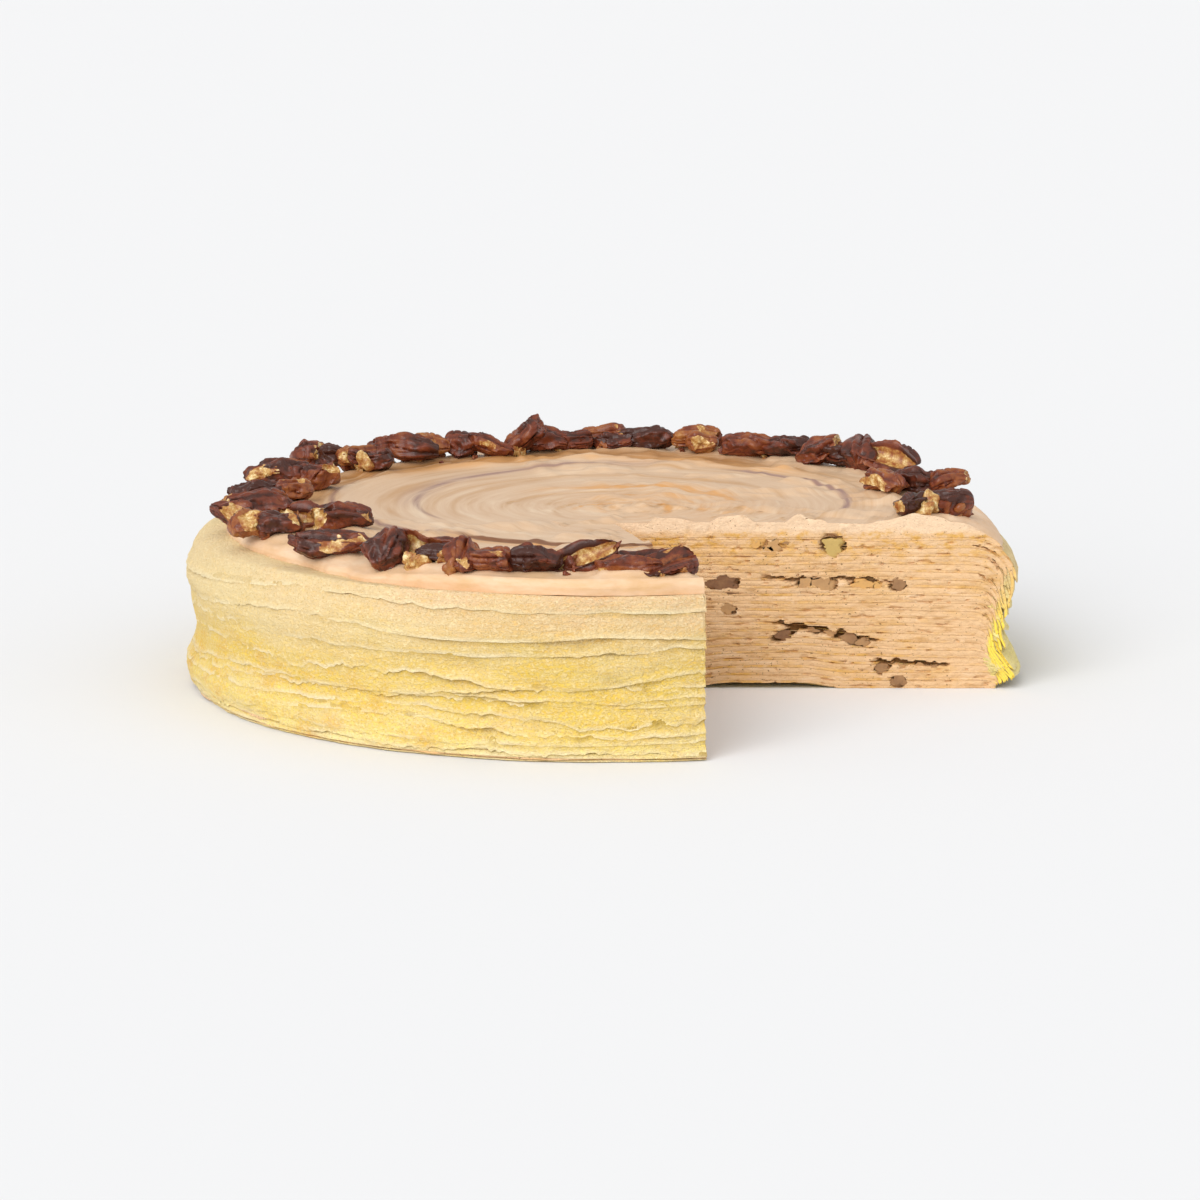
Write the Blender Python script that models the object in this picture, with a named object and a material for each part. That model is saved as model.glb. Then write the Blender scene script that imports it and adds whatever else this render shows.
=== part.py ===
# Crepe cake with one slice taken out, built as it is made: a stack of crepes, cream spread between them,
# a thick swirled cream on top and a ring of candied pecans round the top edge.
# Metres, +Z up. The origin is the centre of the underside, -Y is the front and +X is to the right.

import math

import bmesh
import bpy
import numpy as np
from mathutils import Euler, Matrix, Vector

# The whole cake.
CAKE_RADIUS = 0.1143
SEGMENTS = 20

# The stack. One pitch is a crepe, a gap, the cream above it and another gap.
CREPE_COUNT = 20
LAYER_PITCH = 0.00215
CREPE_THICKNESS = 0.00075
GAP = 0.0003

# Share of the cake's radius at which the stack starts to sag, and where the cream ends. Past the cream
# the bare crepe rims hang down more steeply.
SAG_START = 0.875
CREAM_EDGE = 0.95
SAG_AT_CREAM_EDGE = 0.27

# Share of its height that a layer loses at the full radius: more at the left and right than front and back.
SAG_MEAN = 0.155
SAG_SWING = 0.095

# Crepe rims: most end inside the cake's radius, the lowest flare out on the plate.
RIM_SHARE = 0.972
FLARE_SHARE = 0.028
FLARE_LAYERS = 3
RIM_WAVES = ((0.0011, 2, 1.7), (0.0007, 5, 2.9))

# Top cream: a spatula's spiral furrow over the middle, and a raised band under the nuts.
TOP_CREAM_THICKNESS = 0.0034
SPIRAL_PITCH = 0.018
SPIRAL_DEPTH = 0.0005
SPIRAL_REACH = 0.072
SPIRAL_RINGS = 12
BAND_SHARE = 0.80
BAND_RISE = 0.0003

# The missing slice: its tip, the two points where its cuts leave the cake, and how far the cutter
# reaches below and above the cake.
SLICE_TIP = (0.0032, -0.0218)
SLICE_FAR = (0.1600, -0.0218)
SLICE_NEAR = (0.0395, -0.1610)
CUTTER_REACH = 0.01

# Pecan halves, grouped where caramel holds them together. Each nut is
# (x, y, height of its middle, length, width, turn, tip, roll): sizes in mm, angles in degrees.
# Turn 0 lies along X, tip raises the leading end, roll leans the nut on its side.
PECAN_THICKNESS = 0.72
PECAN_SIDES = (
    (-0.50, 0.00),
    (-0.27, 0.50),
    (0.00, 0.34),
    (0.27, 0.50),
    (0.50, 0.00),
    (0.00, -0.42),
)
PECAN_STATIONS = ((-0.25, 0.90), (0.20, 1.00))
PECAN_CLUSTERS = (
    ((-100.5, -17, 48.5, 10, 8, -20, 0, 0), (-94, -11, 49.5, 20, 10, 20, 0, 0)),
    ((-93, -38, 49, 12, 10, 40, 0, 0), (-86, -39.5, 49, 11, 9, 0, 0, 0)),
    ((-95, 7, 50, 15, 8, 10, 0, 0), (-86.5, 10, 50, 11, 8, 20, 0, 0)),
    ((-92, 33, 50.5, 16, 11, 15, 0, 0), (-81, 31.5, 50.5, 14, 10, -30, 0, 0)),
    ((-84, 67, 51, 10, 9, 20, 0, 0), (-77.5, 65.5, 50, 11, 9, 0, 0, 0), (-71, 65.5, 50.5, 11, 9, 30, 0, 0),
     (-66.5, 62, 50, 11, 9, 0, 0, 0)),
    ((-79.5, -31.5, 50, 13, 9, -20, 0, 0), (-70.5, -35, 50, 16, 10, 0, 0, 0)),
    ((-71.5, -67, 49, 22, 8, -3, 0, 0),),
    ((-56, -81, 49.8, 12, 10, 80, 30, 0), (-47.5, -79.5, 50, 16, 9, -10, 0, 0),
     (-42.5, -83.5, 49.5, 12, 7, 0, 0, 0)),
    ((-35.5, -95, 50.5, 10, 8, 80, 30, 0), (-29, -97, 50, 12, 9, -20, 0, 0)),
    ((-17.5, -97, 50, 12, 10, 0, 0, 0), (-6, -96.5, 50.5, 20, 8, 5, 18, 0)),
    ((5.5, -102, 49, 16, 8, 0, 0, 0), (10, -97, 49.5, 12, 8, 10, 0, 0), (16.5, -102, 50, 13, 9, 30, 12, 0)),
    ((-58, 79, 50.5, 20, 9, -12, 0, 0), (-51, 82.5, 50.5, 11, 8, 0, 0, 0)),
    ((-40, 86, 50.5, 10, 9, 0, 0, 0), (-33, 85, 50, 12, 8, 0, -20, 0)),
    ((-22, 92, 52, 13, 11, 0, 45, 0), (-16, 93.5, 50.5, 11, 9, 0, 0, 0), (-9, 96, 50, 10, 8, 20, 0, 0)),
    ((1.5, 102.5, 50.5, 13, 8, 0, 0, 0), (3, 98, 49.5, 10, 7, 0, 0, 0), (13, 100, 50, 15, 9, 0, 0, 0)),
    ((27, 97, 51, 13, 9, 0, 0, 0), (29, 92.5, 50, 8, 8, 0, 0, 0)),
    ((42, 86.5, 50, 17, 9, -10, 0, 0), (53.5, 82.5, 50.5, 13, 9, -10, 0, 0)),
    ((62.5, 71.5, 51, 12, 9, 0, 25, 0), (69, 69.5, 50.5, 12, 9, -20, 0, 0), (74, 65, 51, 14, 10, 80, 25, 0),
     (81.5, 58.5, 51, 17, 9, -30, -15, 0)),
    ((79, 20, 50.5, 13, 9, -60, 0, 0), (87, 24, 50, 14, 9, -10, 0, 0), (96, 22, 50.5, 11, 8, 10, 15, 0)),
    ((84.5, -15.5, 50.5, 11, 8, 60, 0, 0), (93, -12, 50, 13, 10, 0, 0, 0)),
)

COLOURS = {
    "crepe": (0.80, 0.56, 0.24),
    "cream": (0.75, 0.52, 0.33),
    "top_cream": (0.72, 0.53, 0.38),
    "pecan": (0.18, 0.05, 0.02),
}
ROUGHNESS = {"crepe": 0.75, "cream": 0.55, "top_cream": 0.45, "pecan": 0.25}
SHARP_ANGLE = math.radians(35.0)


def clear_scene():
    for item in list(bpy.data.objects):
        bpy.data.objects.remove(item, do_unlink=True)


def make_material(name):
    material = bpy.data.materials.new(name)
    material.use_nodes = True
    shader = material.node_tree.nodes["Principled BSDF"]
    shader.inputs["Base Color"].default_value = (*COLOURS[name], 1.0)
    shader.inputs["Roughness"].default_value = ROUGHNESS[name]
    shader.inputs["Metallic"].default_value = 0.0
    return material


def link_mesh(name, mesh, material):
    """Link a finished mesh as one object, shaded smooth but for its real edges."""
    mesh.shade_smooth()
    mesh.set_sharp_from_angle(angle=SHARP_ANGLE)
    item = bpy.data.objects.new(name, mesh)
    item.data.materials.append(material)
    bpy.context.collection.objects.link(item)
    return item


def hide_as_tool(item):
    """Keep a helper shape out of the build: it only cuts or joins others."""
    item.hide_render = True
    item.display_type = "WIRE"


def add_boolean(item, tool, operation):
    modifier = item.modifiers.new(operation.lower(), "BOOLEAN")
    modifier.operation = operation
    modifier.object = tool
    modifier.solver = "EXACT"


# The directions round the cake that every layer shares.
ANGLES = np.arange(SEGMENTS) * (2.0 * math.pi / SEGMENTS)


def settled_height(height, radius):
    """Height of a point of the stack once the rim has sagged: in proportion to its height above the plate."""
    share = np.interp(radius / CAKE_RADIUS, (SAG_START, CREAM_EDGE, 1.0), (0.0, SAG_AT_CREAM_EDGE, 1.0))
    return height * (1.0 - share * (SAG_MEAN + SAG_SWING * np.cos(2.0 * ANGLES)))


def ring(radius, height):
    """One loop of points round the cake; the radius may differ from one direction to the next."""
    radius = np.broadcast_to(radius, ANGLES.shape)
    return np.column_stack((radius * np.cos(ANGLES), radius * np.sin(ANGLES), settled_height(height, radius)))


def band_faces(start, widening):
    """Triangles between two rings. Both sides of a layer share their diagonals, so neighbours stay apart."""
    faces = []
    for i in range(SEGMENTS):
        j = (i + 1) % SEGMENTS
        a, b, c, d = start + i, start + j, start + SEGMENTS + j, start + SEGMENTS + i
        faces += [(a, b, c), (a, c, d)] if widening else [(a, b, d), (b, c, d)]
    return faces


def loft(name, rings):
    """A closed shell from a stack of rings, listed from the middle of its underside round to its top."""
    faces = [tuple(reversed(range(SEGMENTS)))]
    for number, (ring_here, ring_next) in enumerate(zip(rings, rings[1:])):
        widening = np.abs(ring_next[:, :2]).sum() > np.abs(ring_here[:, :2]).sum()
        faces += band_faces(number * SEGMENTS, widening)
    faces.append(tuple(range((len(rings) - 1) * SEGMENTS, len(rings) * SEGMENTS)))
    mesh = bpy.data.meshes.new(name)
    mesh.from_pydata(np.concatenate(rings).tolist(), [], faces)
    return mesh


def rim_radius(layer):
    """Rim of one crepe: the lowest flare out to the full radius, the others wander a little."""
    flare = FLARE_SHARE * max(0.0, 1.0 - layer / FLARE_LAYERS)
    radius = np.full(SEGMENTS, CAKE_RADIUS * (RIM_SHARE + flare))
    if layer >= FLARE_LAYERS:
        for size, waves, step in RIM_WAVES:
            radius += size * np.sin(waves * ANGLES + step * layer)
    return radius


def sheet_rings(low, high, radii):
    """Rings of a thin layer, from the flat middle of its underside out to its rim and back over its top."""
    return [ring(radius, low) for radius in radii] + [ring(radius, high) for radius in reversed(radii)]


def make_slice_cutter(top):
    """A tall three-sided prism over the missing slice."""
    tool = bmesh.new()
    corners = [tool.verts.new((x, y, -CUTTER_REACH)) for x, y in (SLICE_TIP, SLICE_NEAR, SLICE_FAR)]
    base = tool.faces.new(corners)
    grown = bmesh.ops.extrude_face_region(tool, geom=[base])
    moved = [item for item in grown["geom"] if isinstance(item, bmesh.types.BMVert)]
    bmesh.ops.translate(tool, verts=moved, vec=(0.0, 0.0, top + 2.0 * CUTTER_REACH))
    bmesh.ops.recalc_face_normals(tool, faces=tool.faces)
    mesh = bpy.data.meshes.new("slice_cutter")
    tool.to_mesh(mesh)
    tool.free()
    cutter = bpy.data.objects.new("slice_cutter", mesh)
    bpy.context.collection.objects.link(cutter)
    hide_as_tool(cutter)
    return cutter


def make_crepe(layer, material, cutter):
    low = layer * LAYER_PITCH
    radii = (SAG_START * CAKE_RADIUS, CREAM_EDGE * CAKE_RADIUS, rim_radius(layer))
    mesh = loft(f"crepe_{layer + 1:02d}", sheet_rings(low, low + CREPE_THICKNESS, radii))
    add_boolean(link_mesh(mesh.name, mesh, material), cutter, "DIFFERENCE")


def make_cream(layer, material, cutter):
    low = layer * LAYER_PITCH + CREPE_THICKNESS + GAP
    high = (layer + 1) * LAYER_PITCH - GAP
    radii = (SAG_START * CAKE_RADIUS, CREAM_EDGE * CAKE_RADIUS)
    mesh = loft(f"cream_{layer + 1:02d}", sheet_rings(low, high, radii))
    add_boolean(link_mesh(mesh.name, mesh, material), cutter, "DIFFERENCE")


def top_surface(radius, base):
    """Top of the cream: a one-armed spiral furrow in the middle and a slight rise under the nuts."""
    turn = radius / SPIRAL_PITCH - ANGLES / (2.0 * math.pi)
    fade = min(1.0, max(0.0, (SPIRAL_REACH - radius) / SPIRAL_PITCH))
    furrow = SPIRAL_DEPTH * fade * np.cos(2.0 * math.pi * turn)
    rise = BAND_RISE * min(1.0, radius / (BAND_SHARE * CAKE_RADIUS)) ** 4
    return base + rise + furrow


def make_top_cream(material, cutter):
    low = (CREPE_COUNT - 1) * LAYER_PITCH + CREPE_THICKNESS + GAP
    high = low + TOP_CREAM_THICKNESS
    rim = CREAM_EDGE * CAKE_RADIUS
    inner = SAG_START * CAKE_RADIUS
    rings = [ring(inner, low), ring(rim, low), ring(rim, high), ring(inner, top_surface(inner, high))]
    for step in range(SPIRAL_RINGS, 0, -1):
        radius = SPIRAL_REACH * step / SPIRAL_RINGS
        rings.append(ring(radius, top_surface(radius, high)))
    mesh = loft("cream_top", rings)
    add_boolean(link_mesh(mesh.name, mesh, material), cutter, "DIFFERENCE")
    return high


def pecan_mesh(name, length, width):
    """Half a pecan: pointed ends, a flat belly and two lobes with a groove between them."""
    shell = bmesh.new()
    tail = shell.verts.new((-0.5 * length, 0.0, 0.0))
    loops = []
    for along, swell in PECAN_STATIONS:
        across = width * swell
        deep = across * PECAN_THICKNESS
        loops.append([shell.verts.new((along * length, y * across, z * deep)) for y, z in PECAN_SIDES])
    tip = shell.verts.new((0.5 * length, 0.0, 0.0))
    sides = len(PECAN_SIDES)
    for i in range(sides):
        j = (i + 1) % sides
        shell.faces.new((tail, loops[0][i], loops[0][j]))
        for inner, outer in zip(loops, loops[1:]):
            shell.faces.new((inner[i], outer[i], outer[j], inner[j]))
        shell.faces.new((tip, loops[-1][j], loops[-1][i]))
    bmesh.ops.triangulate(shell, faces=shell.faces)
    bmesh.ops.recalc_face_normals(shell, faces=shell.faces)
    mesh = bpy.data.meshes.new(name)
    shell.to_mesh(mesh)
    shell.free()
    return mesh


def pecan_place(x, y, height, turn, tip, roll):
    """Where a nut lies: rolled, tipped and turned about its own middle, then moved to its place."""
    angles = (math.radians(roll), -math.radians(tip), math.radians(turn))
    return Matrix.Translation(Vector((x, y, height)) / 1000.0) @ Euler(angles, "XYZ").to_matrix().to_4x4()


def make_pecan_cluster(number, nuts, material):
    """Nuts that caramel holds together: each is shaped and placed, then joined to the first."""
    first = None
    for index, (x, y, height, length, width, turn, tip, roll) in enumerate(nuts):
        name = f"pecans_{number:02d}" if first is None else f"pecans_{number:02d}_joined_{index}"
        mesh = pecan_mesh(name, length / 1000.0, width / 1000.0)
        mesh.transform(pecan_place(x, y, height, turn, tip, roll))
        nut = link_mesh(name, mesh, material)
        if first is None:
            first = nut
        else:
            hide_as_tool(nut)
            add_boolean(first, nut, "UNION")


def build():
    clear_scene()
    materials = {name: make_material(name) for name in COLOURS}
    cutter = make_slice_cutter(CREPE_COUNT * LAYER_PITCH + TOP_CREAM_THICKNESS)
    for layer in range(CREPE_COUNT):
        make_crepe(layer, materials["crepe"], cutter)
    for layer in range(CREPE_COUNT - 1):
        make_cream(layer, materials["cream"], cutter)
    make_top_cream(materials["top_cream"], cutter)
    for number, nuts in enumerate(PECAN_CLUSTERS, start=1):
        make_pecan_cluster(number, nuts, materials["pecan"])


build()
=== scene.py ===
import math

import bpy
import numpy as np
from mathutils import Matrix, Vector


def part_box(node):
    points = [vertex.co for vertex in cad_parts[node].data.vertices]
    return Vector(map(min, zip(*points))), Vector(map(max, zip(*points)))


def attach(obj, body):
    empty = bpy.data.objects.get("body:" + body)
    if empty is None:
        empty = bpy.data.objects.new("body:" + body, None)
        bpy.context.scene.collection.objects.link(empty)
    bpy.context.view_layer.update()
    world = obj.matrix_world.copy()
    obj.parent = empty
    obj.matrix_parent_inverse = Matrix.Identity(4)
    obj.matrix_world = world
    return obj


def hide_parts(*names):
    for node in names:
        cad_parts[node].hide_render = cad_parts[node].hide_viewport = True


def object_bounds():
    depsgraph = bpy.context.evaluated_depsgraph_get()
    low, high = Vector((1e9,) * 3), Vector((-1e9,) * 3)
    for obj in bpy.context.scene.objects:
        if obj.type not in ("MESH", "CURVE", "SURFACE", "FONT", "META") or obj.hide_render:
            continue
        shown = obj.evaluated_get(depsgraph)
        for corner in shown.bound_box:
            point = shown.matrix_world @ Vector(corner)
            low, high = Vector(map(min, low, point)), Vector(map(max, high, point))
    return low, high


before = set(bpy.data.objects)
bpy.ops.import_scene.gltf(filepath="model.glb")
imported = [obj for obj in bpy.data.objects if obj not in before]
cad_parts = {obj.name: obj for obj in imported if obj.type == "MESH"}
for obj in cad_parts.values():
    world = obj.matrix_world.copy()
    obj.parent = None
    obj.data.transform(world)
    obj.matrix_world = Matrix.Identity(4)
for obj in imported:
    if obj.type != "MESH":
        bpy.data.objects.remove(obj)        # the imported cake: crepes, creams and pecan clusters, each a fixed solid
cadLow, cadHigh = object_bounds()
print("frame loaded:", len(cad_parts), "nodes")

mm = 0.001
turn = 2.0 * math.pi


# small tools

def smooth(value, low, high):
    # 0 below low, 1 above high and an even S curve between
    share = np.clip((value - low) / (high - low), 0.0, 1.0)
    return share * share * (3.0 - 2.0 * share)


def cloudNoise(points, cell, seed):
    # smooth random values from -1 to 1: a cube of random numbers, one each cell, blended between its corners
    size = 32
    table = np.random.default_rng(seed).uniform(-1.0, 1.0, (size, size, size))
    place = np.asarray(points) / np.asarray(cell)
    corner = np.floor(place).astype(int)
    share = place - corner
    share = share * share * (3.0 - 2.0 * share)
    total = np.zeros(place.shape[:-1])
    for step in np.ndindex(2, 2, 2):
        pick = (corner + step) % size
        weight = np.prod(np.where(np.array(step) == 1, share, 1.0 - share), axis=-1)
        total += weight * table[pick[..., 0], pick[..., 1], pick[..., 2]]
    return total


def ripple(angle, seed, fewest, most):
    # smooth random line round the cake, mostly from -1 to 1: waves that each fit round it a whole number of
    # times, added up, with the shorter ones weaker
    draw = np.random.default_rng(seed)
    counts = np.arange(fewest, most + 1)
    phases = draw.uniform(0.0, turn, len(counts))
    sizes = draw.normal(size=len(counts)) * (counts / fewest) ** -0.5
    waves = np.cos(np.asarray(angle)[..., None] * counts + phases)
    return (waves * sizes).sum(-1) / math.sqrt((sizes ** 2).sum())


def blur(row, width):
    # a row of values averaged with its neighbours, the nearest ones most
    kernel = np.hanning(width)
    return np.convolve(np.pad(row, width // 2, "edge"), kernel / kernel.sum(), "valid")


def directionOf(points):
    # how far points lie from the cake's centre line, and in which direction
    return np.hypot(points[..., 0], points[..., 1]), np.arctan2(points[..., 1], points[..., 0])


def apartFrom(angle, degrees):
    # how far a direction is from another, either way round
    return np.abs((angle - math.radians(degrees) + math.pi) % turn - math.pi)


def roundTable(angle, table):
    # reads a value stored for every direction of roundAngles
    return np.interp(angle, roundAngles, table, period=turn)


def closedMesh(name, grid, attributes=None, pole=None):
    # closed shells from grids of points: each row is a ring, and the first and last rings shut onto their
    # middles, or onto the pole where one is given
    grid = grid[None] if grid.ndim == 3 else grid
    shells, rows, columns = grid.shape[:3]
    middles = grid[:, (0, -1)].mean(2)
    if pole is not None:
        middles[..., :2] = pole
    points = np.concatenate((grid.reshape(-1, 3), middles.reshape(-1, 3)))
    column = np.arange(columns)
    beside = (column + 1) % columns
    shell = np.arange(shells)[:, None]
    first = (shell * rows + np.arange(rows - 1))[..., None] * columns
    quads = np.stack((first + column, first + beside, first + columns + beside, first + columns + column), -1)
    start = shell * rows * columns
    last = start + (rows - 1) * columns
    tip = shells * rows * columns + 2 * shell + 0 * column
    startFan = np.stack((start + beside, start + column, tip), -1)
    endFan = np.stack((last + column, last + beside, tip + 1), -1)
    corners = np.concatenate((quads.ravel(), startFan.ravel(), endFan.ravel()))
    sizes = np.concatenate((np.full(quads.size // 4, 4), np.full(2 * shells * columns, 3)))
    mesh = bpy.data.meshes.new(name)
    mesh.vertices.add(len(points))
    mesh.vertices.foreach_set("co", points.astype(np.float32).ravel())
    mesh.loops.add(len(corners))
    mesh.loops.foreach_set("vertex_index", corners.astype(np.int32))
    mesh.polygons.add(len(sizes))
    mesh.polygons.foreach_set("loop_start", (np.cumsum(sizes) - sizes).astype(np.int32))
    mesh.update(calc_edges=True)
    for label, values in (attributes or {}).items():
        values = np.broadcast_to(values, grid.shape[:3])
        values = np.concatenate((values.ravel(), values[:, (0, -1)].mean(2).ravel()))
        mesh.attributes.new(label, "FLOAT", "POINT").data.foreach_set("value", values.astype(np.float32))
    return mesh


def addPiece(mesh, materials, nodes, sharp=50.0):
    # one finished piece: it rides with the cake and stands for its solid
    for material in materials:
        mesh.materials.append(material)
    mesh.shade_smooth()
    mesh.set_sharp_from_angle(angle=math.radians(sharp))
    piece = bpy.data.objects.new(mesh.name, mesh)
    bpy.context.scene.collection.objects.link(piece)
    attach(piece, "root")
    if nodes:
        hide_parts(*nodes)
    return piece


# the stack's shape

cake = {
    "radius": (cadHigh[0] - cadLow[0]) / 2.0,
    "crepes": 20,
    "crepeThickness": 0.75 * mm,
    "rimThickness": 0.42 * mm,      # a crepe is thinner where it hangs
    "rimPress": 1.35,               # hanging rims are pressed into each other by this much of their thickness
    "topCream": 4.1 * mm,
    "tip": (3.2 * mm, -21.8 * mm),  # where the two cuts of the missing slice meet
    "farCut": (1.0, 0.0),           # the directions in which they run out
    "nearCut": (0.2523, -0.9676),
    "middle": (-30.0 * mm, 15.0 * mm),  # a point that every edge of the cake can be seen from
    "sagStart": 0.86,               # share of the radius where the stack begins to sink
    "sagFront": -0.045,             # share of its height that the rim loses at the front and back, and at the
    "sagLeft": 0.11,                # left and right; below 0 it rises
    "sagRight": 0.22,
    "sagPower": 6,                  # how closely the side sags keep to the left and right
    "dents": 0.35 * mm,             # dents in the side, and smaller ones
    "fineDents": 0.16 * mm,
    "dentCells": 6.0,               # how many dents fit along one radius of the rim
    "sideInset": 0.3 * mm,
}

# share of the radius at each height in mm: the side bulges high up, draws in low down and flares at its foot
sideShape = {
    "left": ((0, 0.994), (3, 1.002), (7, 1.006), (11, 0.990), (15, 0.978), (20, 0.985), (26, 0.995),
             (31, 1.004), (35, 0.996), (38, 0.976), (41, 0.955), (46, 0.925)),
    "right": ((0, 1.014), (2, 1.010), (5.4, 0.996), (11, 0.978), (15, 0.978), (22, 0.987), (27, 0.996),
              (33, 1.000), (38, 0.994), (46, 0.972)),
    "front": ((0, 1.005), (3, 1.001), (8, 0.992), (13, 0.992), (20, 0.991), (26, 0.994), (32, 0.996),
              (46, 0.992)),
}

# hanging length in mm of each crepe's rim, from the lowest crepe up: short ones stay behind the long ones
hangs = (-0.6, 0.0, 0.3, 3.6, 2.0, 6.0, 2.0, 7.2, 2.2, 7.9, 8.0, 7.2, 8.3, 2.2, 8.2, 2.4, 7.4, 2.6, 7.8, 2.9)

crepeTop = [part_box(f"crepe_{number + 1:02d}")[1][2] for number in range(cake["crepes"])]
sheets = cake["crepes"] + 1      # the top cream hangs as one more sheet
topSheet = sheets - 1
roundAngles = np.arange(720) * (turn / 720)
sideStep = 0.25 * mm
sideHeights = np.arange(0.0, 52.0 * mm, sideStep)


def cutAxes(cut):
    # a cut's directions, out along it and across it into the cake, and where its inner end lies along both
    along = np.array(cake[cut])
    across = np.array((-along[1], along[0])) * (1.0 if cut == "farCut" else -1.0)
    tip = np.array(cake["tip"])
    return along, across, along @ tip, across @ tip


def cutAngle(cut, radius, inset=0.0):
    # the direction of a cut's point at a distance from the cake's centre: its distance across the cut is
    # fixed, and the rest of the distance is along it
    along, across, _, tipAcross = cutAxes(cut)
    away = tipAcross + inset + 0.0 * radius
    run = np.sqrt(np.maximum(radius ** 2 - away ** 2, 0.0))
    point = run[..., None] * along + away[..., None] * across
    return directionOf(point)[1] % turn


def sagShare(angle):
    # share of its height that the rim loses: the front's, going to a side's own as a power of the cosine
    side = np.where(np.cos(angle) < 0.0, cake["sagLeft"], cake["sagRight"])
    return cake["sagFront"] + (side - cake["sagFront"]) * np.cos(angle) ** cake["sagPower"]


def sideProfile(angle, height):
    # the side's outer radius: left, right and front shapes blended by direction, with shallow dents
    shapes = {}
    for side, rows in sideShape.items():
        heights, shares = np.array(rows).T
        fine = blur(np.interp(sideHeights, heights * mm, shares), 15)
        shapes[side] = np.interp(height, sideHeights, fine)
    left = np.maximum(0.0, -np.cos(angle)) ** 2
    right = np.maximum(0.0, np.cos(angle)) ** 2
    share = shapes["left"] * left + shapes["right"] * right + shapes["front"] * (1.0 - left - right)
    cells = cake["dentCells"]
    around = (np.cos(angle) * cells, np.sin(angle) * cells, height / (5.0 * mm))
    around = np.stack(np.broadcast_arrays(*around), -1)
    dents = cake["dents"] * cloudNoise(around, 1.0, 11)
    dents = dents + cake["fineDents"] * cloudNoise(around * 3.0, 1.0, 12)
    return share * cake["radius"] - cake["sideInset"] + dents


def layerZ(sheet):
    # height of the middle of a crepe before it sags; the top cream's underside lies on the last crepe
    if sheet == topSheet:
        return crepeTop[-1] + 0.02 * mm
    return crepeTop[sheet] - cake["crepeThickness"] / 2.0


def cornerRadius(sheet):
    return min(1.7 * mm, 0.6 * layerZ(sheet))


def rimHeight(sheet):
    # where the rim has turned down and starts to hang, for every direction
    return layerZ(sheet) * (1.0 - sagShare(roundAngles)) - cornerRadius(sheet)


# how the rims hang, with lengths in mm
rims = {
    "torn": 0.85,           # depth of the torn scallops, and of the fraying on them
    "frayed": 0.48,
    "creamHem": -2.6,       # the cream's hem past the corner, and how far it draws back at the left and right
    "creamLeft": 11.5,
    "creamRight": 3.0,
    "creamLeast": -10.5,
    "drawnBack": 0.5,       # how much shorter each of the top rims is at the right
    "drawnFrom": 15,
    "skirtSheets": (1, 9),  # the sheets that reach the plate at the right
    "skirtThicker": 0.45,
    "thin": 0.30,           # share of its thickness that a rim keeps at its hem, less this where stuck
    "stuckThinner": 0.17,
    "lift": 0.06,           # how far a hem stands off everywhere, and in places
    "liftSwing": 0.80,
    "pucker": 0.22,         # depth of the wide puckers, and of the fine ones
    "finePucker": 0.13,
    "drape": 0.30,          # slope at which a rim falls away from what it lies over
    "outline": 0.10,        # and the slope of the whole side
}


def skirtShare():
    # 1 at the right, where the lower rims hang down to the plate
    return smooth(np.cos(roundAngles - 0.10), 0.80, 0.93)


def hangLength(sheet):
    # how far a rim hangs, for every direction: its own length, long waves, then torn scallops
    rim = rimHeight(sheet)
    right = np.cos(roundAngles)
    torn = rims["torn"] * np.abs(ripple(roundAngles, 500 + sheet, 9, 44))
    torn = torn + rims["frayed"] * np.abs(ripple(roundAngles, 400 + sheet, 50, 260))
    torn = (torn - 0.6) * (0.75 + 0.6 * ripple(roundAngles, 600 + sheet, 2, 7))
    if sheet == topSheet:
        # the cream reaches the corner at the front and back, and stops short of it at the left and right
        length = rims["creamHem"] - rims["creamLeft"] * np.maximum(-right, 0.0) ** 1.3
        length = length - rims["creamRight"] * smooth(right, 0.60, 0.95)
        return np.maximum(length + 0.7 * ripple(roundAngles, 77, 3, 16) + 0.8 * torn, rims["creamLeast"]) * mm
    length = hangs[sheet] + (0.10 + 0.22 * abs(hangs[sheet])) * ripple(roundAngles, 100 + sheet, 1, 8)
    # the top ones draw back over the sloping shoulder at the right
    length = length - rims["drawnBack"] * max(sheet - rims["drawnFrom"], 0) * smooth(right, 0.55, 0.95)
    length = (length + torn * np.clip(hangs[sheet] / 2.0, 0.1, 1.0)) * mm
    # at the right the lower rims reach the plate as a pleated skirt
    lowest, highest = rims["skirtSheets"]
    skirt = skirtShare() * (lowest <= sheet <= highest)
    toPlate = rim - (0.4 + 0.30 * sheet) * mm
    length = length + skirt * (toPlate - length)
    return np.minimum(length, np.maximum(rim - (0.85 + 0.12 * sheet) * mm, -0.6 * mm))


def stuckShare(sheet):
    # 1 where a rim's edge has stuck down and melts into the one below, for every direction
    stuck = smooth(ripple(roundAngles, 850 + sheet, 3, 22), -0.5, 0.5)
    return np.maximum(stuck, 0.8 * smooth(-np.cos(roundAngles), 0.35, 0.8)) * (1.0 - skirtShare())


def hemTaper(above, stuck):
    # a rim thins towards its ragged lower edge, and further where it has stuck down
    thin = rims["thin"] - rims["stuckThinner"] * stuck
    return thin + (1.0 - thin) * smooth(above, 0.0, (1.4 + 3.0 * stuck) * mm)


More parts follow.
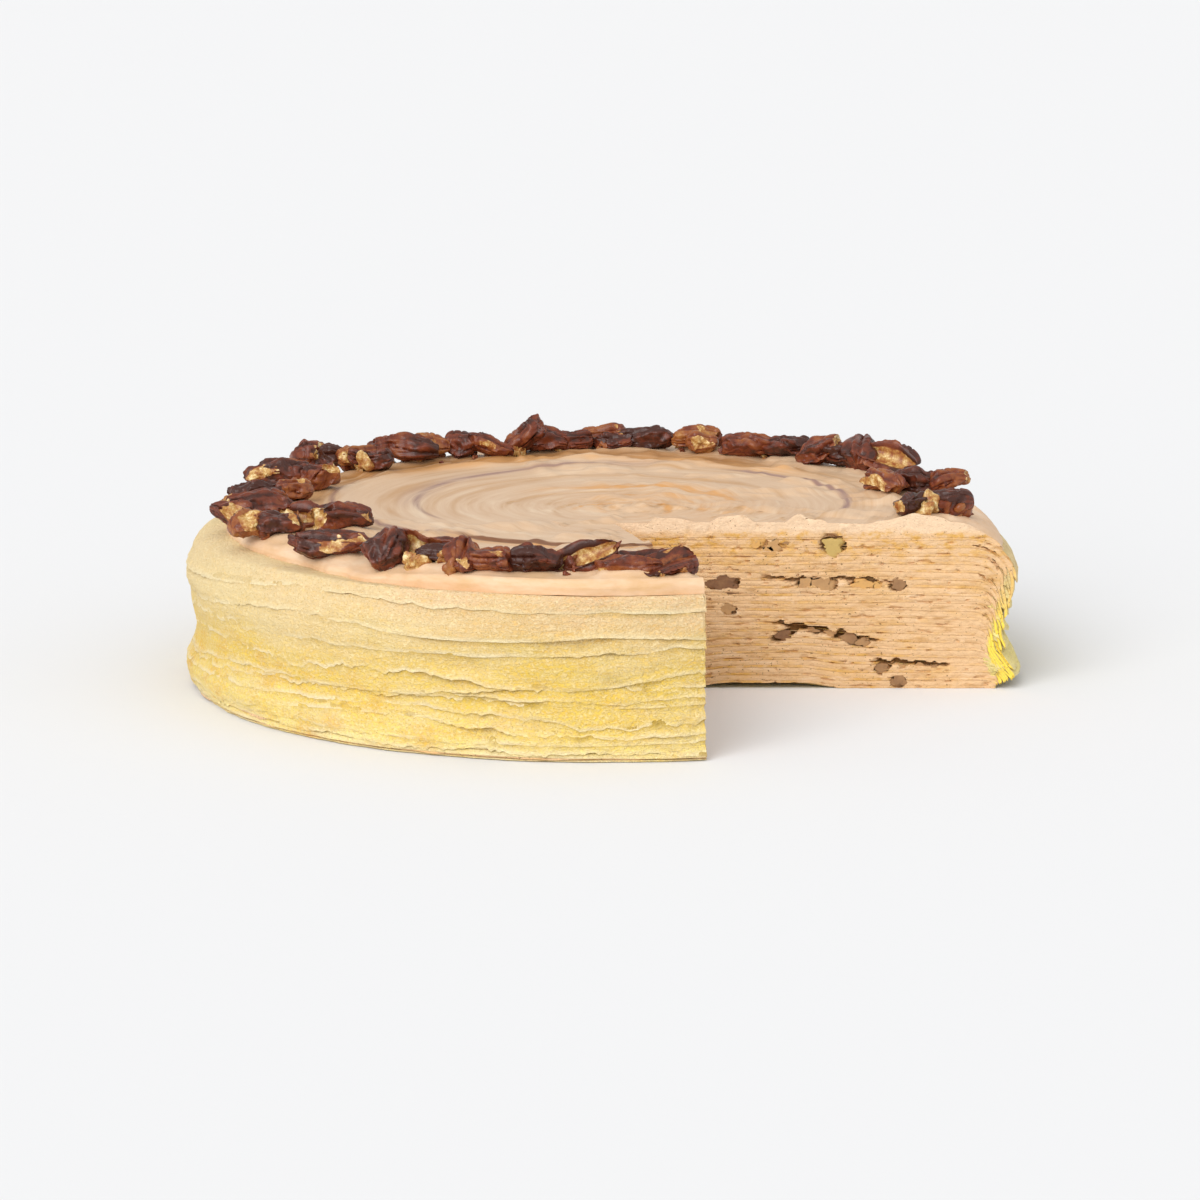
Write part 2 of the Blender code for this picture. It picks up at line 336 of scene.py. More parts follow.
# hems that stand off from the stack: sheet, direction and half width in degrees, how far in mm
lifts = ((18, 268, 7.0, 1.5), (18, 247, 4.0, 0.8), (17, 281, 4.0, 0.7), (19, 244, 5.0, 0.8),
         (14, 276, 5.0, 0.8), (16, 285, 3.0, 0.9), (12, 262, 9.0, 0.9), (9, 272, 6.0, 0.7),
         (18, 218, 6.0, 0.9), (19, 226, 5.0, 0.7), (10, 240, 7.0, 0.7), (6, 279, 7.0, 0.9),
         (19, 186, 12.0, 2.4), (18, 176, 10.0, 2.2), (17, 192, 9.0, 2.0), (19, -7, 6.0, 1.7),
         (18, -2, 6.0, 1.6), (17, -9, 5.0, 1.7), (16, -3, 6.0, 1.4), (15, -8, 5.0, 1.4), (14, -2, 6.0, 1.4),
         (12, -8, 5.0, 1.2), (11, -3, 6.0, 1.2))


def hemLift(sheet):
    # how far a hem stands off what is under it, for every direction: a little, more in places, less at the
    # left, then the ones named above
    raised = np.maximum(0.0, ripple(roundAngles, 700 + sheet, 3, 24) - 0.15)
    lift = rims["lift"] + rims["liftSwing"] * raised ** 1.5
    lift = lift * (1.0 - 0.75 * smooth(-np.cos(roundAngles), 0.25, 0.75))
    for own, direction, half, far in lifts:
        if own == sheet:
            lift = lift + far * np.exp(-(apartFrom(roundAngles, direction) / math.radians(half)) ** 2)
    return lift * mm


def rimCrumple(sheet):
    # shallow puckers in a hanging rim, for every direction and height, deepest near its hem
    angle = roundAngles[:, None]
    height = sideHeights[None, :]
    place = np.stack(np.broadcast_arrays(np.cos(angle) * 32.0, np.sin(angle) * 32.0, height / (3.2 * mm)), -1)
    place = place + (0.0, 0.0, 40.0 * sheet)
    above = height - (rimHeight(sheet) - hangLengths[sheet])[:, None]
    fine = rims["finePucker"] * cloudNoise(place * 2.3, 1.0, 802)
    deep = (rims["pucker"] * cloudNoise(place, 1.0, 801) + fine) * mm
    return deep * (1.0 - 0.7 * smooth(above, 0.0, 5.0 * mm))


def draped(cover, slope, steps):
    # what is laid over a side: it falls away from each bulge at a slope, up and down
    eased = cover.copy()
    for step in range(1, steps + 1):
        drop = slope * step * sideStep
        eased[:, step:] = np.maximum(eased[:, step:], cover[:, :-step] - drop)
        eased[:, :-step] = np.maximum(eased[:, :-step], cover[:, step:] - drop)
    return eased


def stackSheets():
    # every sheet's own radius, for every direction and height: each rim is laid over those already hung,
    # pushed out by what is under it, and at the end all are moved in together so that their outside is the
    # side's outline
    built = np.zeros((len(roundAngles), len(sideHeights)))
    middles = []
    for sheet in range(sheets):
        rim = rimHeight(sheet)[:, None]
        hem = rim - hangLengths[sheet][:, None]
        stuck = stuckShare(sheet)[:, None]
        thick = cake["rimThickness"] * hemTaper(sideHeights - hem, stuck)
        thick = thick * (1.0 + rims["skirtThicker"] * skirtShare()[:, None])
        if sheet == topSheet:
            thick = 0.8 * mm + 0.0 * thick
        lifted = hemLift(sheet)[:, None] * (1.0 - smooth(sideHeights, hem, hem + 2.6 * mm))
        lifted *= np.clip(hangLengths[sheet][:, None] / (3.0 * mm), 0.0, 1.0) * (1.0 - 0.8 * stuck)
        middle = draped(built, rims["drape"], 12) + thick / 2.0 + lifted
        middles.append(middle)
        cover = (sideHeights > hem - 0.1 * mm) & (sideHeights < rim + cornerRadius(sheet))
        built = np.where(cover, middle + thick / 2.0 + 0.05 * mm, built)
    outside = np.apply_along_axis(blur, 1, draped(built, rims["outline"], 16), 17)
    profile = sideProfile(roundAngles[:, None], sideHeights[None, :])
    return [profile - outside + (middle - rimCrumple(sheet)) for sheet, middle in enumerate(middles)]


hangLengths = [hangLength(sheet) for sheet in range(sheets)]
sheetRadius = stackSheets()


def sideRadius(sheet, angle, height):
    # reads a sheet's own radius between the stored directions and heights: the four nearest, blended
    table = sheetRadius[sheet]
    count = len(roundAngles)
    across = (angle % turn) / (turn / count)
    up = np.clip(height / sideStep, 0.0, len(sideHeights) - 1.001)
    column = np.floor(across).astype(int)
    row = np.floor(up).astype(int)
    share = up - row
    here = table[column % count, row] * (1.0 - share) + table[column % count, row + 1] * share
    beside = (column + 1) % count
    there = table[beside, row] * (1.0 - share) + table[beside, row + 1] * share
    return here * (1.0 - (across - column)) + there * (across - column)


sheetRadius[topSheet] -= 0.4 * mm     # the top cream is described by its underside
# each sheet's radius where its rim starts to hang
cornerAt = [sideRadius(sheet, roundAngles, rimHeight(sheet)) for sheet in range(sheets)]


def flatHeight(sheet, radius, angle):
    # the middle of a sheet: level, then sinking as the cube of the way to the rim, then turned down in an arc
    corner = roundTable(angle, cornerAt[sheet])
    bend = corner - 5.0 * mm
    start = cake["sagStart"]
    way = np.clip((np.minimum(radius, bend) / cake["radius"] - start) / (1.0 - start), 0.0, 1.0)
    beyond = np.clip((radius - bend) / (corner - bend), 0.0, 1.0)
    way = way + (1.0 - way) * beyond
    size = cornerRadius(sheet)
    inCorner = np.clip((radius - corner + size) / size, 0.0, 1.0)
    return layerZ(sheet) * (1.0 - sagShare(angle) * way ** 3) - size * (1.0 - np.sqrt(1.0 - inCorner ** 2))


# how far the layers undulate, in mm
warp = {
    "all": 0.20,        # wide waves that go right up to the top
    "wide": 0.30,       # and waves that stay below it, wide and fine
    "fine": 0.26,
    "offPlate": 1.5,    # how far the lowest layers have come off the plate along part of the far cut
}


def settle(points):
    # a gentle space warp that every piece shares, so that the layers undulate together and never cross
    height = points[..., 2]
    wide = cloudNoise(points, (24 * mm, 24 * mm, 11 * mm), 21)
    fine = cloudNoise(points, (9 * mm, 9 * mm, 6 * mm), 22)
    moved = points.copy()
    calm = 1.0 - 0.8 * smooth(height, 36.0 * mm, 45.0 * mm)
    rise = warp["all"] * wide + (warp["wide"] * wide + warp["fine"] * fine) * calm
    moved[..., 2] += rise * mm * smooth(height, 0.4 * mm, 7.0 * mm)
    x = points[..., 0]
    y = points[..., 1]
    free = smooth(x, 22.0 * mm, 34.0 * mm) * (1.0 - smooth(x, 54.0 * mm, 66.0 * mm))
    free *= (1.0 - smooth(y, -20.0 * mm, -4.0 * mm)) * (y > -30.0 * mm)
    moved[..., 2] += warp["offPlate"] * mm * free * np.clip(1.0 - height / (24.0 * mm), 0.0, 1.0)
    return moved


# the cut faces

# hollows and slits in a cut face, where nuts were and where layers part: how far along it, height, half
# length, half height and depth in mm, and slope
hollows = {
    "farCut": (
        (61.5, 30.3, 20.5, 0.50, 2.2, -0.02),
        (54.3, 29.2, 2.6, 1.5, 2.2, 0.0),
        (60.2, 29.0, 3.4, 1.6, 2.0, 0.0),
        (71.0, 29.0, 4.6, 1.5, 2.2, 0.0),
        (79.8, 28.6, 2.5, 1.8, 2.4, 0.0),
        (62.0, 39.5, 3.9, 3.0, 2.8, 0.0),
        (45.0, 39.4, 5.0, 1.0, 1.2, -0.05),
        (60.0, 15.4, 15.5, 1.0, 3.2, -0.16),
        (49.0, 14.0, 4.2, 1.7, 2.8, 0.5),
        (68.5, 12.9, 4.0, 1.7, 2.6, -0.3),
        (83.5, 6.9, 11.0, 0.7, 2.8, 0.0),
        (76.0, 5.6, 2.6, 1.2, 2.2, 0.0),
        (80.2, 1.9, 2.4, 1.5, 2.0, 0.0),
        (34.0, 22.0, 2.1, 1.7, 2.0, 0.0),
        (32.0, 29.4, 5.0, 1.7, 2.4, 0.0),
        (109.3, 26.0, 1.2, 3.0, 2.0, 0.3),
        (103.5, 38.6, 3.6, 0.35, 1.5, -0.35),
        (106.5, 34.0, 2.6, 0.40, 1.6, -0.9),
        (108.6, 30.6, 1.4, 0.70, 1.6, -1.5),
        (104.5, 30.4, 3.0, 0.30, 1.4, -0.6),
    ),
    "nearCut": (
        (40.0, 31.0, 9.0, 0.8, 2.6, 0.03),
        (36.0, 29.6, 3.0, 1.6, 2.2, 0.0),
        (66.0, 37.2, 3.4, 2.0, 2.2, 0.0),
        (72.0, 17.4, 12.0, 0.9, 2.8, -0.06),
        (67.0, 16.0, 3.2, 1.6, 2.4, 0.0),
        (28.0, 9.8, 7.0, 0.8, 2.6, 0.05),
        (88.0, 25.0, 2.6, 1.6, 2.0, 0.0),
    ),
}

faceLook = {
    "coarse": 0.42 * mm,    # knife drag and tears
    "fine": 0.15 * mm,
    "slit": 0.55 * mm,      # short gaps between layers
    "lineDepth": 0.05 * mm,  # crepe edges lie a little behind the cream
    "wander": 0.62 * mm,    # how ragged the hollows' edges are, and the finer part of it
    "fineWander": 0.45 * mm,
}


def faceDepth(cut, along, height, extra):
    # how far a cut face lies behind its plane: noise drawn out along the layers, or a hollow where that is
    # deeper, an ellipse with a ragged edge
    place = np.stack((along, height, np.full_like(along, 0.0 if cut == "farCut" else 1.0)), -1)

    def drawn(long, high, seed):
        return cloudNoise(place, (long * mm, high * mm, 1.0), seed)

    coarse = drawn(13.0, 2.6, 31) + 0.5 * drawn(4.0, 1.3, 34)
    fine = drawn(1.5, 0.5, 32)
    slit = smooth(drawn(2.6, 0.6, 35), 0.62, 0.85)
    depth = faceLook["coarse"] * (0.5 + 0.5 * coarse) + faceLook["fine"] * fine
    depth = depth + faceLook["slit"] * slit + extra
    wander = faceLook["wander"] * drawn(2.4, 2.0, 33) + faceLook["fineWander"] * fine
    for centre, level, halfLong, halfHigh, deep, tilt in hollows[cut]:
        across = along - centre * mm
        up = height - level * mm - tilt * across + wander
        inside = (across / (halfLong * mm)) ** 2 + (up / (halfHigh * mm)) ** 2
        depth = np.maximum(depth, deep * mm * smooth(1.15 - inside, 0.0, 0.55))
    return depth


def faceMargins(depth, fromOutside, fromTip):
    # a cut face's relief, none at its outer end and less at its inner one
    return depth * (smooth(fromOutside, 0.0, 2.0 * mm) * (0.4 + 0.6 * smooth(fromTip, 0.0, 1.5 * mm)))


def cutEnd(cut, corner):
    # the direction in which a cut leaves the cake, at a sheet's own radius
    guess = cutAngle(cut, np.array(0.965 * cake["radius"]))
    return float(cutAngle(cut, np.array(roundTable(guess, corner))))


def unrolledOutline(corner, size, reach, counts, level, extra=0.0):
    # the edge of a sheet laid flat, all the way round: its rim, in along the near cut and out along the far
    # cut. reach is how far the sheet goes past the start of its corner, and level is the height at which it
    # is cut. the second result is how deep each point lies behind its cut
    rimCount, faceCount = counts
    angles = np.linspace(cutEnd("farCut", corner) - turn, cutEnd("nearCut", corner), rimCount)
    rim = roundTable(angles, corner) - size + roundTable(angles, reach)
    parts = [np.stack((rim * np.cos(angles), rim * np.sin(angles)), -1)]
    depths = [np.zeros(rimCount)]
    for cut in ("nearCut", "farCut"):
        end = cutEnd(cut, corner)
        start = roundTable(end, corner) - size
        tipFrom = math.hypot(*cake["tip"])
        tipAlong = cutAxes(cut)[2]
        outAlong = math.sqrt(start ** 2 - tipFrom ** 2 + tipAlong ** 2) - tipAlong
        path = np.linspace(0.0, 1.0, faceCount + 1)[:-1] * (outAlong + roundTable(end, reach))
        along = np.minimum(path, outAlong)
        radius = np.sqrt((along + tipAlong) ** 2 + tipFrom ** 2 - tipAlong ** 2)
        depth = faceDepth(cut, along + tipAlong, level(radius, np.full_like(radius, end)), extra)
        depth = faceMargins(depth, path[-1] - path, path)
        angle = cutAngle(cut, radius, depth)
        radius = radius + path - along
        points = np.stack((radius * np.cos(angle), radius * np.sin(angle)), -1)
        parts.append(points[::-1] if cut == "nearCut" else points[1:])
        depths.append(depth[::-1] if cut == "nearCut" else depth[1:])
    return np.concatenate(parts), np.concatenate(depths)


def drawIn(outline, distance):
    # every point of an outline moved towards the middle by the same distance
    middle = np.array(cake["middle"])
    away = middle - outline
    length = np.linalg.norm(away, axis=-1, keepdims=True)
    return outline + away / length * np.minimum(distance, 0.92 * length)


def sheetWay(sheet, away, angle):
    # how far a flat sheet's point lies past the start of its corner, and how far it still is from its hem
    size = cornerRadius(sheet)
    past = away - roundTable(angle, cornerAt[sheet]) + size
    return past, roundTable(angle, hangLengths[sheet]) + size * math.pi / 2.0 - past


def rollSheet(sheet, flat, side, thickness):
    # folds flat points over the stack: level on top, round the corner and down the side, then out by half
    # the sheet's thickness
    away, angle = directionOf(flat)
    corner = roundTable(angle, cornerAt[sheet])
    size = cornerRadius(sheet)
    past, fromHem = sheetWay(sheet, away, angle)
    bend = np.clip(past / size, 0.0, math.pi / 2.0)
    drop = np.maximum(past - size * math.pi / 2.0, 0.0)
    radius = np.where(past <= 0.0, away, corner - size + size * np.sin(bend))
    height = flatHeight(sheet, np.minimum(radius, corner), angle) - drop
    radius = np.where(drop > 0.0, sideRadius(sheet, angle, height), radius)
    half = side * thickness(past, fromHem, angle) / 2.0
    radius = radius + half * np.sin(bend)
    height = height + half * np.cos(bend)
    return np.stack((radius * np.cos(angle), radius * np.sin(angle), height), -1)


# materials

class Signal:
    # a value in a node tree: arithmetic on it adds maths nodes
    def __init__(self, tree, socket):
        self.tree = tree
        self.socket = socket

    def __add__(self, other):
        return mathNode(self.tree, "ADD", self, other)

    def __sub__(self, other):
        return mathNode(self.tree, "SUBTRACT", self, other)

    def __rsub__(self, other):
        return mathNode(self.tree, "SUBTRACT", other, self)

    def __mul__(self, other):
        return mathNode(self.tree, "MULTIPLY", self, other)

    def __truediv__(self, other):
        return mathNode(self.tree, "DIVIDE", self, other)


def newMaterial(name, roughness, specular):
    material = bpy.data.materials.new(name)
    material.use_nodes = True
    shader = material.node_tree.nodes["Principled BSDF"]
    shader.inputs["Roughness"].default_value = roughness
    shader.inputs["Specular IOR Level"].default_value = specular
    return material, material.node_tree, shader


def fill(tree, socket, value):
    # a number, place or colour is set on the socket, and a signal is linked to it
    if isinstance(value, Signal):
        tree.links.new(value.socket, socket)
    elif isinstance(value, tuple) and socket.type == "RGBA":
        socket.default_value = (*value, 1.0)
    else:
        socket.default_value = value


def addNode(tree, kind, given, output, **settings):
    # a node with its settings made and its sockets filled, which gives back one of its outputs
    node = tree.nodes.new(kind)
    for key, value in settings.items():
        setattr(node, key, value)
    for socket, value in given.items():
        fill(tree, node.inputs[socket], value)
    return Signal(tree, node.outputs[output])


def mathNode(tree, operation, first, second=0.5):
    return addNode(tree, "ShaderNodeMath", {0: first, 1: second}, 0, operation=operation)


def vectorNode(tree, operation, *given, output=0):
    return addNode(tree, "ShaderNodeVectorMath", dict(enumerate(given)), output, operation=operation)


def clamped(signal):
    # the last maths node's result, held between 0 and 1
    signal.socket.node.use_clamp = True
    return signal


def span(signal, low, high):
    # 0 at low, 1 at high, and held beyond
    return clamped((signal - low) / (high - low))


def painted(base, *layers):
    # colours laid over a base one after another, each by its share
    for share, colour in layers:
        base = addNode(share.tree, "ShaderNodeMix", {0: share, 6: base, 7: colour}, 2, data_type="RGBA")
    return base


def stretched(tree, scale=(1.0, 1.0, 1.0)):
    # object coordinates, squeezed or drawn out along each axis
    place = addNode(tree, "ShaderNodeTexCoord", {}, "Object")
    return addNode(tree, "ShaderNodeMapping", {"Vector": place, "Scale": scale}, "Vector")


def noise(tree, pattern, place=None):
    # a pattern is its scale, detail, roughness and, if not 1, how much finer it is upwards
    scale, detail, roughness, *upward = pattern
    place = place or stretched(tree, (1.0, 1.0, *(upward or [1.0])))
    given = {"Scale": scale, "Detail": detail, "Roughness": roughness, "Vector": place}
    return addNode(tree, "ShaderNodeTexNoise", given, "Fac")


def patches(tree, pattern, place=None):
    # noise made to run from 0 to 1 between a pattern's last two values
    *cloud, low, high = pattern
    return span(noise(tree, cloud, place), low, high)


def rampNode(signal, *stops):
    # a colour ramp from (place, colour) stops
    colour = addNode(signal.tree, "ShaderNodeValToRGB", {0: signal}, "Color")
    ramp = colour.socket.node.color_ramp
    while len(ramp.elements) < len(stops):
        ramp.elements.new(0.5)
    for element, (place, shade) in zip(ramp.elements, stops):
        element.position = place
        element.color = (*shade, 1.0)
    return colour


def axisOf(vector, axis):
    return addNode(vector.tree, "ShaderNodeSeparateXYZ", {0: vector}, axis)


def lengthOf(vector):
    return vectorNode(vector.tree, "LENGTH", vector, output="Value")


def attribute(tree, name):
    return addNode(tree, "ShaderNodeAttribute", {}, "Fac", attribute_name=name)


def finishSurface(shader, colour, relief, strength, depth):
    # sets a surface's colour and the bump that its relief gives
    tree = colour.tree
    given = {"Strength": strength, "Distance": depth, "Height": relief}
    fill(tree, shader.inputs["Base Color"], colour)
    fill(tree, shader.inputs["Normal"], addNode(tree, "ShaderNodeBump", given, "Normal"))


def newGroup(name, inputs, outputs):
    # a shader node group, with its inputs as signals by name and its output sockets
    group = bpy.data.node_groups.new(name, "ShaderNodeTree")
    for label, kind in inputs.items():
        group.interface.new_socket(name=label, in_out="INPUT", socket_type=kind)
    for label in outputs:
        group.interface.new_socket(name=label, in_out="OUTPUT", socket_type="NodeSocketFloat")
    sockets = group.nodes.new("NodeGroupInput").outputs
    given = {label: Signal(group, sockets[label]) for label in inputs}
    return group, given, group.nodes.new("NodeGroupOutput").inputs


def placeGroup(tree, group, given):
    # a node group's outputs as signals by name
    node = addNode(tree, "ShaderNodeGroup", given, 0, node_tree=group).socket.node
    return {output.name: Signal(tree, output) for output in node.outputs}


spongeLook = {
    "lumps": (420.0, 3.0, 0.6),
    "lace": (1000.0, 3.0, 0.75, 0.42, 0.60),
    "laceHeight": 0.45,
    "poreRadius": 0.24,     # share of the space between pores
    "poreDepth": 0.5,
}


def spongeGroup():
    # open crumb: soft lumps, small pores and a fine grain
    inputs = {"Pore Size": "NodeSocketFloat"}
    group, given, gives = newGroup("sponge", inputs, ("Height", "Pores", "Lace"))
    place = stretched(group, (1.0, 1.0, 1.5))
    cells = {"Vector": place, "Scale": given["Pore Size"]}
    nearest = addNode(group, "ShaderNodeTexVoronoi", cells, "Distance", feature="F1")
    pores = mathNode(group, "LESS_THAN", nearest, spongeLook["poreRadius"])
    lace = patches(group, spongeLook["lace"], place)
    lumps = noise(group, spongeLook["lumps"], place)
    height = lumps + lace * spongeLook["laceHeight"] - pores * spongeLook["poreDepth"]
    fill(group, gives["Height"], height)
    fill(group, gives["Pores"], pores)
    fill(group, gives["Lace"], lace)
    return group


# each look has its colours, its patterns as noise or patches read them, then strengths
skinLook = {
    # colour at each height in mm, from the foot up: pale, gold, cream, then peach where filling soaked in
    "heights": ((0, (0.97, 0.80, 0.33)), (4, (0.93, 0.71, 0.19)), (13, (0.86, 0.60, 0.11)),
                (22, (0.81, 0.56, 0.10)), (28, (0.78, 0.54, 0.16)), (34, (0.79, 0.54, 0.235)),
                (40, (0.80, 0.53, 0.28)), (46, (0.81, 0.54, 0.315))),
    "gold": (0.78, 0.42, 0.04),
    "olive": (0.58, 0.42, 0.09),
    "pale": (0.86, 0.69, 0.37),
    "white": (0.89, 0.75, 0.47),
    "pit": (0.62, 0.38, 0.07),
    # painted shade: the darker colour laid just under each hem, where the rims above shade the side
    "hemShadeColour": (0.46, 0.29, 0.05),
    "bright": (1.00, 0.87, 0.34),   # lower rims at the right: bare yellow where they caught no cream, and painted lighter as a glow of light through the thin rims
    "drift": (26.0, 4.0, 0.6, 2.0),
    "goldPatches": (80.0, 5.0, 0.7, 1.6, 0.47, 0.66),
    "olivePatches": (60.0, 3.0, 0.6, 3.5, 0.52, 0.72),
    "goldStreaks": (150.0, 4.0, 0.65, 5.0, 0.50, 0.66),
    "paleWash": (48.0, 5.0, 0.65, 2.8, 0.45, 0.72),
    "broken": (45.0, 3.0, 0.6, 2.0, 0.35, 0.62),
    "drawn": (170.0, 4.0, 0.65, 6.0),
    "driftHeight": 22.0 * mm,
    "oliveShare": 0.60,
    "streakShare": 0.35,
    "washShare": 0.55,
    "endShare": 0.62,
    "bareYellowAndGlowShare": 0.85,
    "laceShare": 0.42,
    "poreShare": 0.34,
    "hemShare": 0.85,
    "poreSize": 1100.0,
    "drawnHeight": 0.9,
    "bump": 0.70,
    "bumpDepth": 0.7 * mm,
    "roughness": 0.75,
    "specular": 0.2,
}


def crepeSkin(sponge):
    # coloured by height and by where on the side it is, then patches, lace, pores, hems, and painted shade on what
    # the hems cover
    look = skinLook
    material, tree, shader = newMaterial("crepeSkin", look["roughness"], look["specular"])
    place = stretched(tree)
    height = axisOf(place, "Z") + (noise(tree, look["drift"]) - 0.5) * look["driftHeight"]
    top = look["heights"][-1][0]
    stops = [(level / top, colour) for level, colour in look["heights"]]
    base = rampNode(span(height, 0.0, top * mm), *stops)
    left = span(axisOf(place, "X"), -20.0 * mm, -100.0 * mm)
    right = span(axisOf(place, "X"), 70.0 * mm, 104.0 * mm)
    ends = mathNode(tree, "MAXIMUM", left, right)
    front = 1.0 - ends
    lower = 1.0 - span(height, 8.0 * mm, 30.0 * mm)
    middle = span(height, 16.0 * mm, 24.0 * mm) * (1.0 - span(height, 30.0 * mm, 37.0 * mm))
    upper = span(height, 16.0 * mm, 30.0 * mm)
    gold = patches(tree, look["goldPatches"]) * lower * (left * 0.60 + 0.45)
    olive = patches(tree, look["olivePatches"]) * middle * front * look["oliveShare"]
    found = placeGroup(tree, sponge, {"Pore Size": look["poreSize"]})
    broken = patches(tree, look["broken"])
    hem = 1.0 - span(attribute(tree, "fromEdge"), 0.3 * mm, 1.3 * mm)
    # painted shade under the hems: darker where a point is tucked in under a hem above it, in broken patches, more at
    # the front
    paintedHemShade = attribute(tree, "underHemShade") * broken * (front * 0.50 + 0.35)
    base = painted(
        base,
        (gold, look["gold"]),
        (olive, look["olive"]),
        (patches(tree, look["goldStreaks"]) * look["streakShare"], look["gold"]),
        (patches(tree, look["paleWash"]) * look["washShare"], look["pale"]),
        (ends * upper * look["endShare"], look["pale"]),
        # lower rims at the right: their bare yellow, with a painted glow of light through them
        (right * (1.0 - upper) * look["bareYellowAndGlowShare"], look["bright"]),
        (found["Lace"] * look["laceShare"], look["white"]),
        (found["Pores"] * look["poreShare"], look["pit"]),
        (hem * broken * look["hemShare"], look["white"]),
        (paintedHemShade, look["hemShadeColour"]),
    )
    relief = found["Height"] + noise(tree, look["drawn"]) * look["drawnHeight"]
    finishSurface(shader, base, relief, look["bump"], look["bumpDepth"])
    return material


cutLook = {
    "cream": (0.79, 0.52, 0.285),
    "pale": (0.87, 0.64, 0.42),
    "shade": (0.62, 0.36, 0.16),
    "amber": (0.72, 0.40, 0.09),
    "speck": (0.16, 0.07, 0.02),
    # bare yellow of the hanging rims, painted lighter as a glow of light through the thin rims
    "yolk": (0.97, 0.75, 0.10),
    # painted shade: the deep brown that the cut faces darken to inside hollows and slits
    "hollow": (0.30, 0.15, 0.05),
    "top": (0.88, 0.65, 0.44),
    "dragged": (120.0, 5.0, 0.65, 5.0),
    "ragged": (140.0, 4.0, 0.65, 1.5),
    "amberMottle": (230.0, 4.0, 0.65, 1.8, 0.48, 0.62),
    "amberPatches": (75.0, 4.0, 0.65, 3.0, 0.50, 0.68),
    "lineGaps": (190.0, 4.0, 0.65, 2.0, 0.40, 0.58),
    "lineShown": (38.0, 2.0, 0.5, 1.6, 0.38, 0.62),
    "speckAreas": (60.0, 2.0, 0.5, 0.38, 0.52),
    "specks": (1300.0, 2.0, 0.5, 1.4, 0.650, 0.69),
    "raggedHeight": 6.0 * mm,
    "topShare": 0.85,
    "mottleShare": 0.95,
    "patchShare": 0.42,
    "lineShare": 0.75,
    "borderShare": 0.55,
    "speckShare": 0.80,
    "poreSize": 800.0,
    "bump": 0.5,
    "bumpDepth": 0.6 * mm,
    "roughness": 0.60,
    "specular": 0.2,
}


def cutSurface(name, sponge, crepe=0.0, top=0.0):
    # cream and crepe dragged across each other by the knife, with painted shade in its hollows; crepe and top say
    # whose edge this is
    look = cutLook
    material, tree, shader = newMaterial(name, look["roughness"], look["specular"])
    height = axisOf(stretched(tree), "Z")
    base = rampNode(noise(tree, look["dragged"]), (0.30, look["shade"]), (0.44, look["cream"]),
                    (0.58, look["cream"]), (0.74, look["pale"]))
    ragged = height + (noise(tree, look["ragged"]) - 0.5) * look["raggedHeight"]
    whole = span(ragged, 42.5 * mm, 44.0 * mm) * top
    under = span(height, 32.0 * mm, 40.5 * mm) * (1.0 - whole)
    mottle = under * patches(tree, look["amberMottle"]) * look["mottleShare"]
    patch = patches(tree, look["amberPatches"]) * (look["patchShare"] * (1.0 - top))
    amber = clamped(mottle + patch) * (1.0 - whole)
    base = painted(base, (whole * look["topShare"], look["top"]), (amber, look["amber"]))
    if crepe:
        # a crepe's edge shows as a broken yellow-brown line, and bare yellow where the rims hang, painted lighter
        # there as a glow of light through the thin rims
        line = (1.0 - patches(tree, look["lineGaps"])) * (patches(tree, look["lineShown"]) + 0.15)
        border = span(mathNode(tree, "ABSOLUTE", attribute(tree, "across")), 0.25, 1.0)
        yolk = painted(look["yolk"], (border * look["borderShare"], look["amber"]))
        lower = 1.0 - span(height, 18.0 * mm, 26.0 * mm) * 0.7
        shown = clamped(line * look["lineShare"])
        base = painted(base, (shown, look["amber"]), (attribute(tree, "hanging") * lower, yolk))
    specks = patches(tree, look["specks"]) * patches(tree, look["speckAreas"]) * look["speckShare"]
    # painted shade: darker brown where the face lies more than 1 mm behind the cut, inside hollows and slits
    hollow = span(attribute(tree, "deep"), 1.0 * mm, 2.6 * mm)
    base = painted(base, (specks, look["speck"]), (hollow, look["hollow"]))
    relief = placeGroup(tree, sponge, {"Pore Size": look["poreSize"]})["Height"]
    finishSurface(shader, base, relief, look["bump"], look["bumpDepth"])
    return material


swirlLook = {
    "cream": (0.670, 0.460, 0.290),
    "pale": (0.780, 0.595, 0.410),
    "tan": (0.560, 0.330, 0.160),
    "orange": (0.660, 0.330, 0.110),
    "brown": (0.225, 0.085, 0.026),
    "purple": (0.330, 0.190, 0.150),
    "edge": (0.770, 0.515, 0.315),
    "rimTan": (0.690, 0.430, 0.215),
    "rimPale": (0.840, 0.640, 0.450),
    "backRingBrown": (0.400, 0.190, 0.065),
    "drift": 14.0,
    "driftReach": 2.6 * mm,
    "streakMiddle": (5.0 * mm, 6.0 * mm),   # the streaks run round this point
    "streakLength": 1.3,
    "grain": 600.0,
    "broader": (0.8, 0.8, 0.22),
    "fineStreaks": (1.0, 4.0, 0.65),
    "wideStreaks": (1.0, 3.0, 0.6),
    "dabs": (70.0, 5.0, 0.65, 4.0),
    "groove": 0.22 * mm,
    "paleShare": 0.50,
    "tanShare": 0.45,
    "bump": 0.16,
    "bumpDepth": 0.6 * mm,
    "roughness": 0.45,
    "specular": 0.3,
}
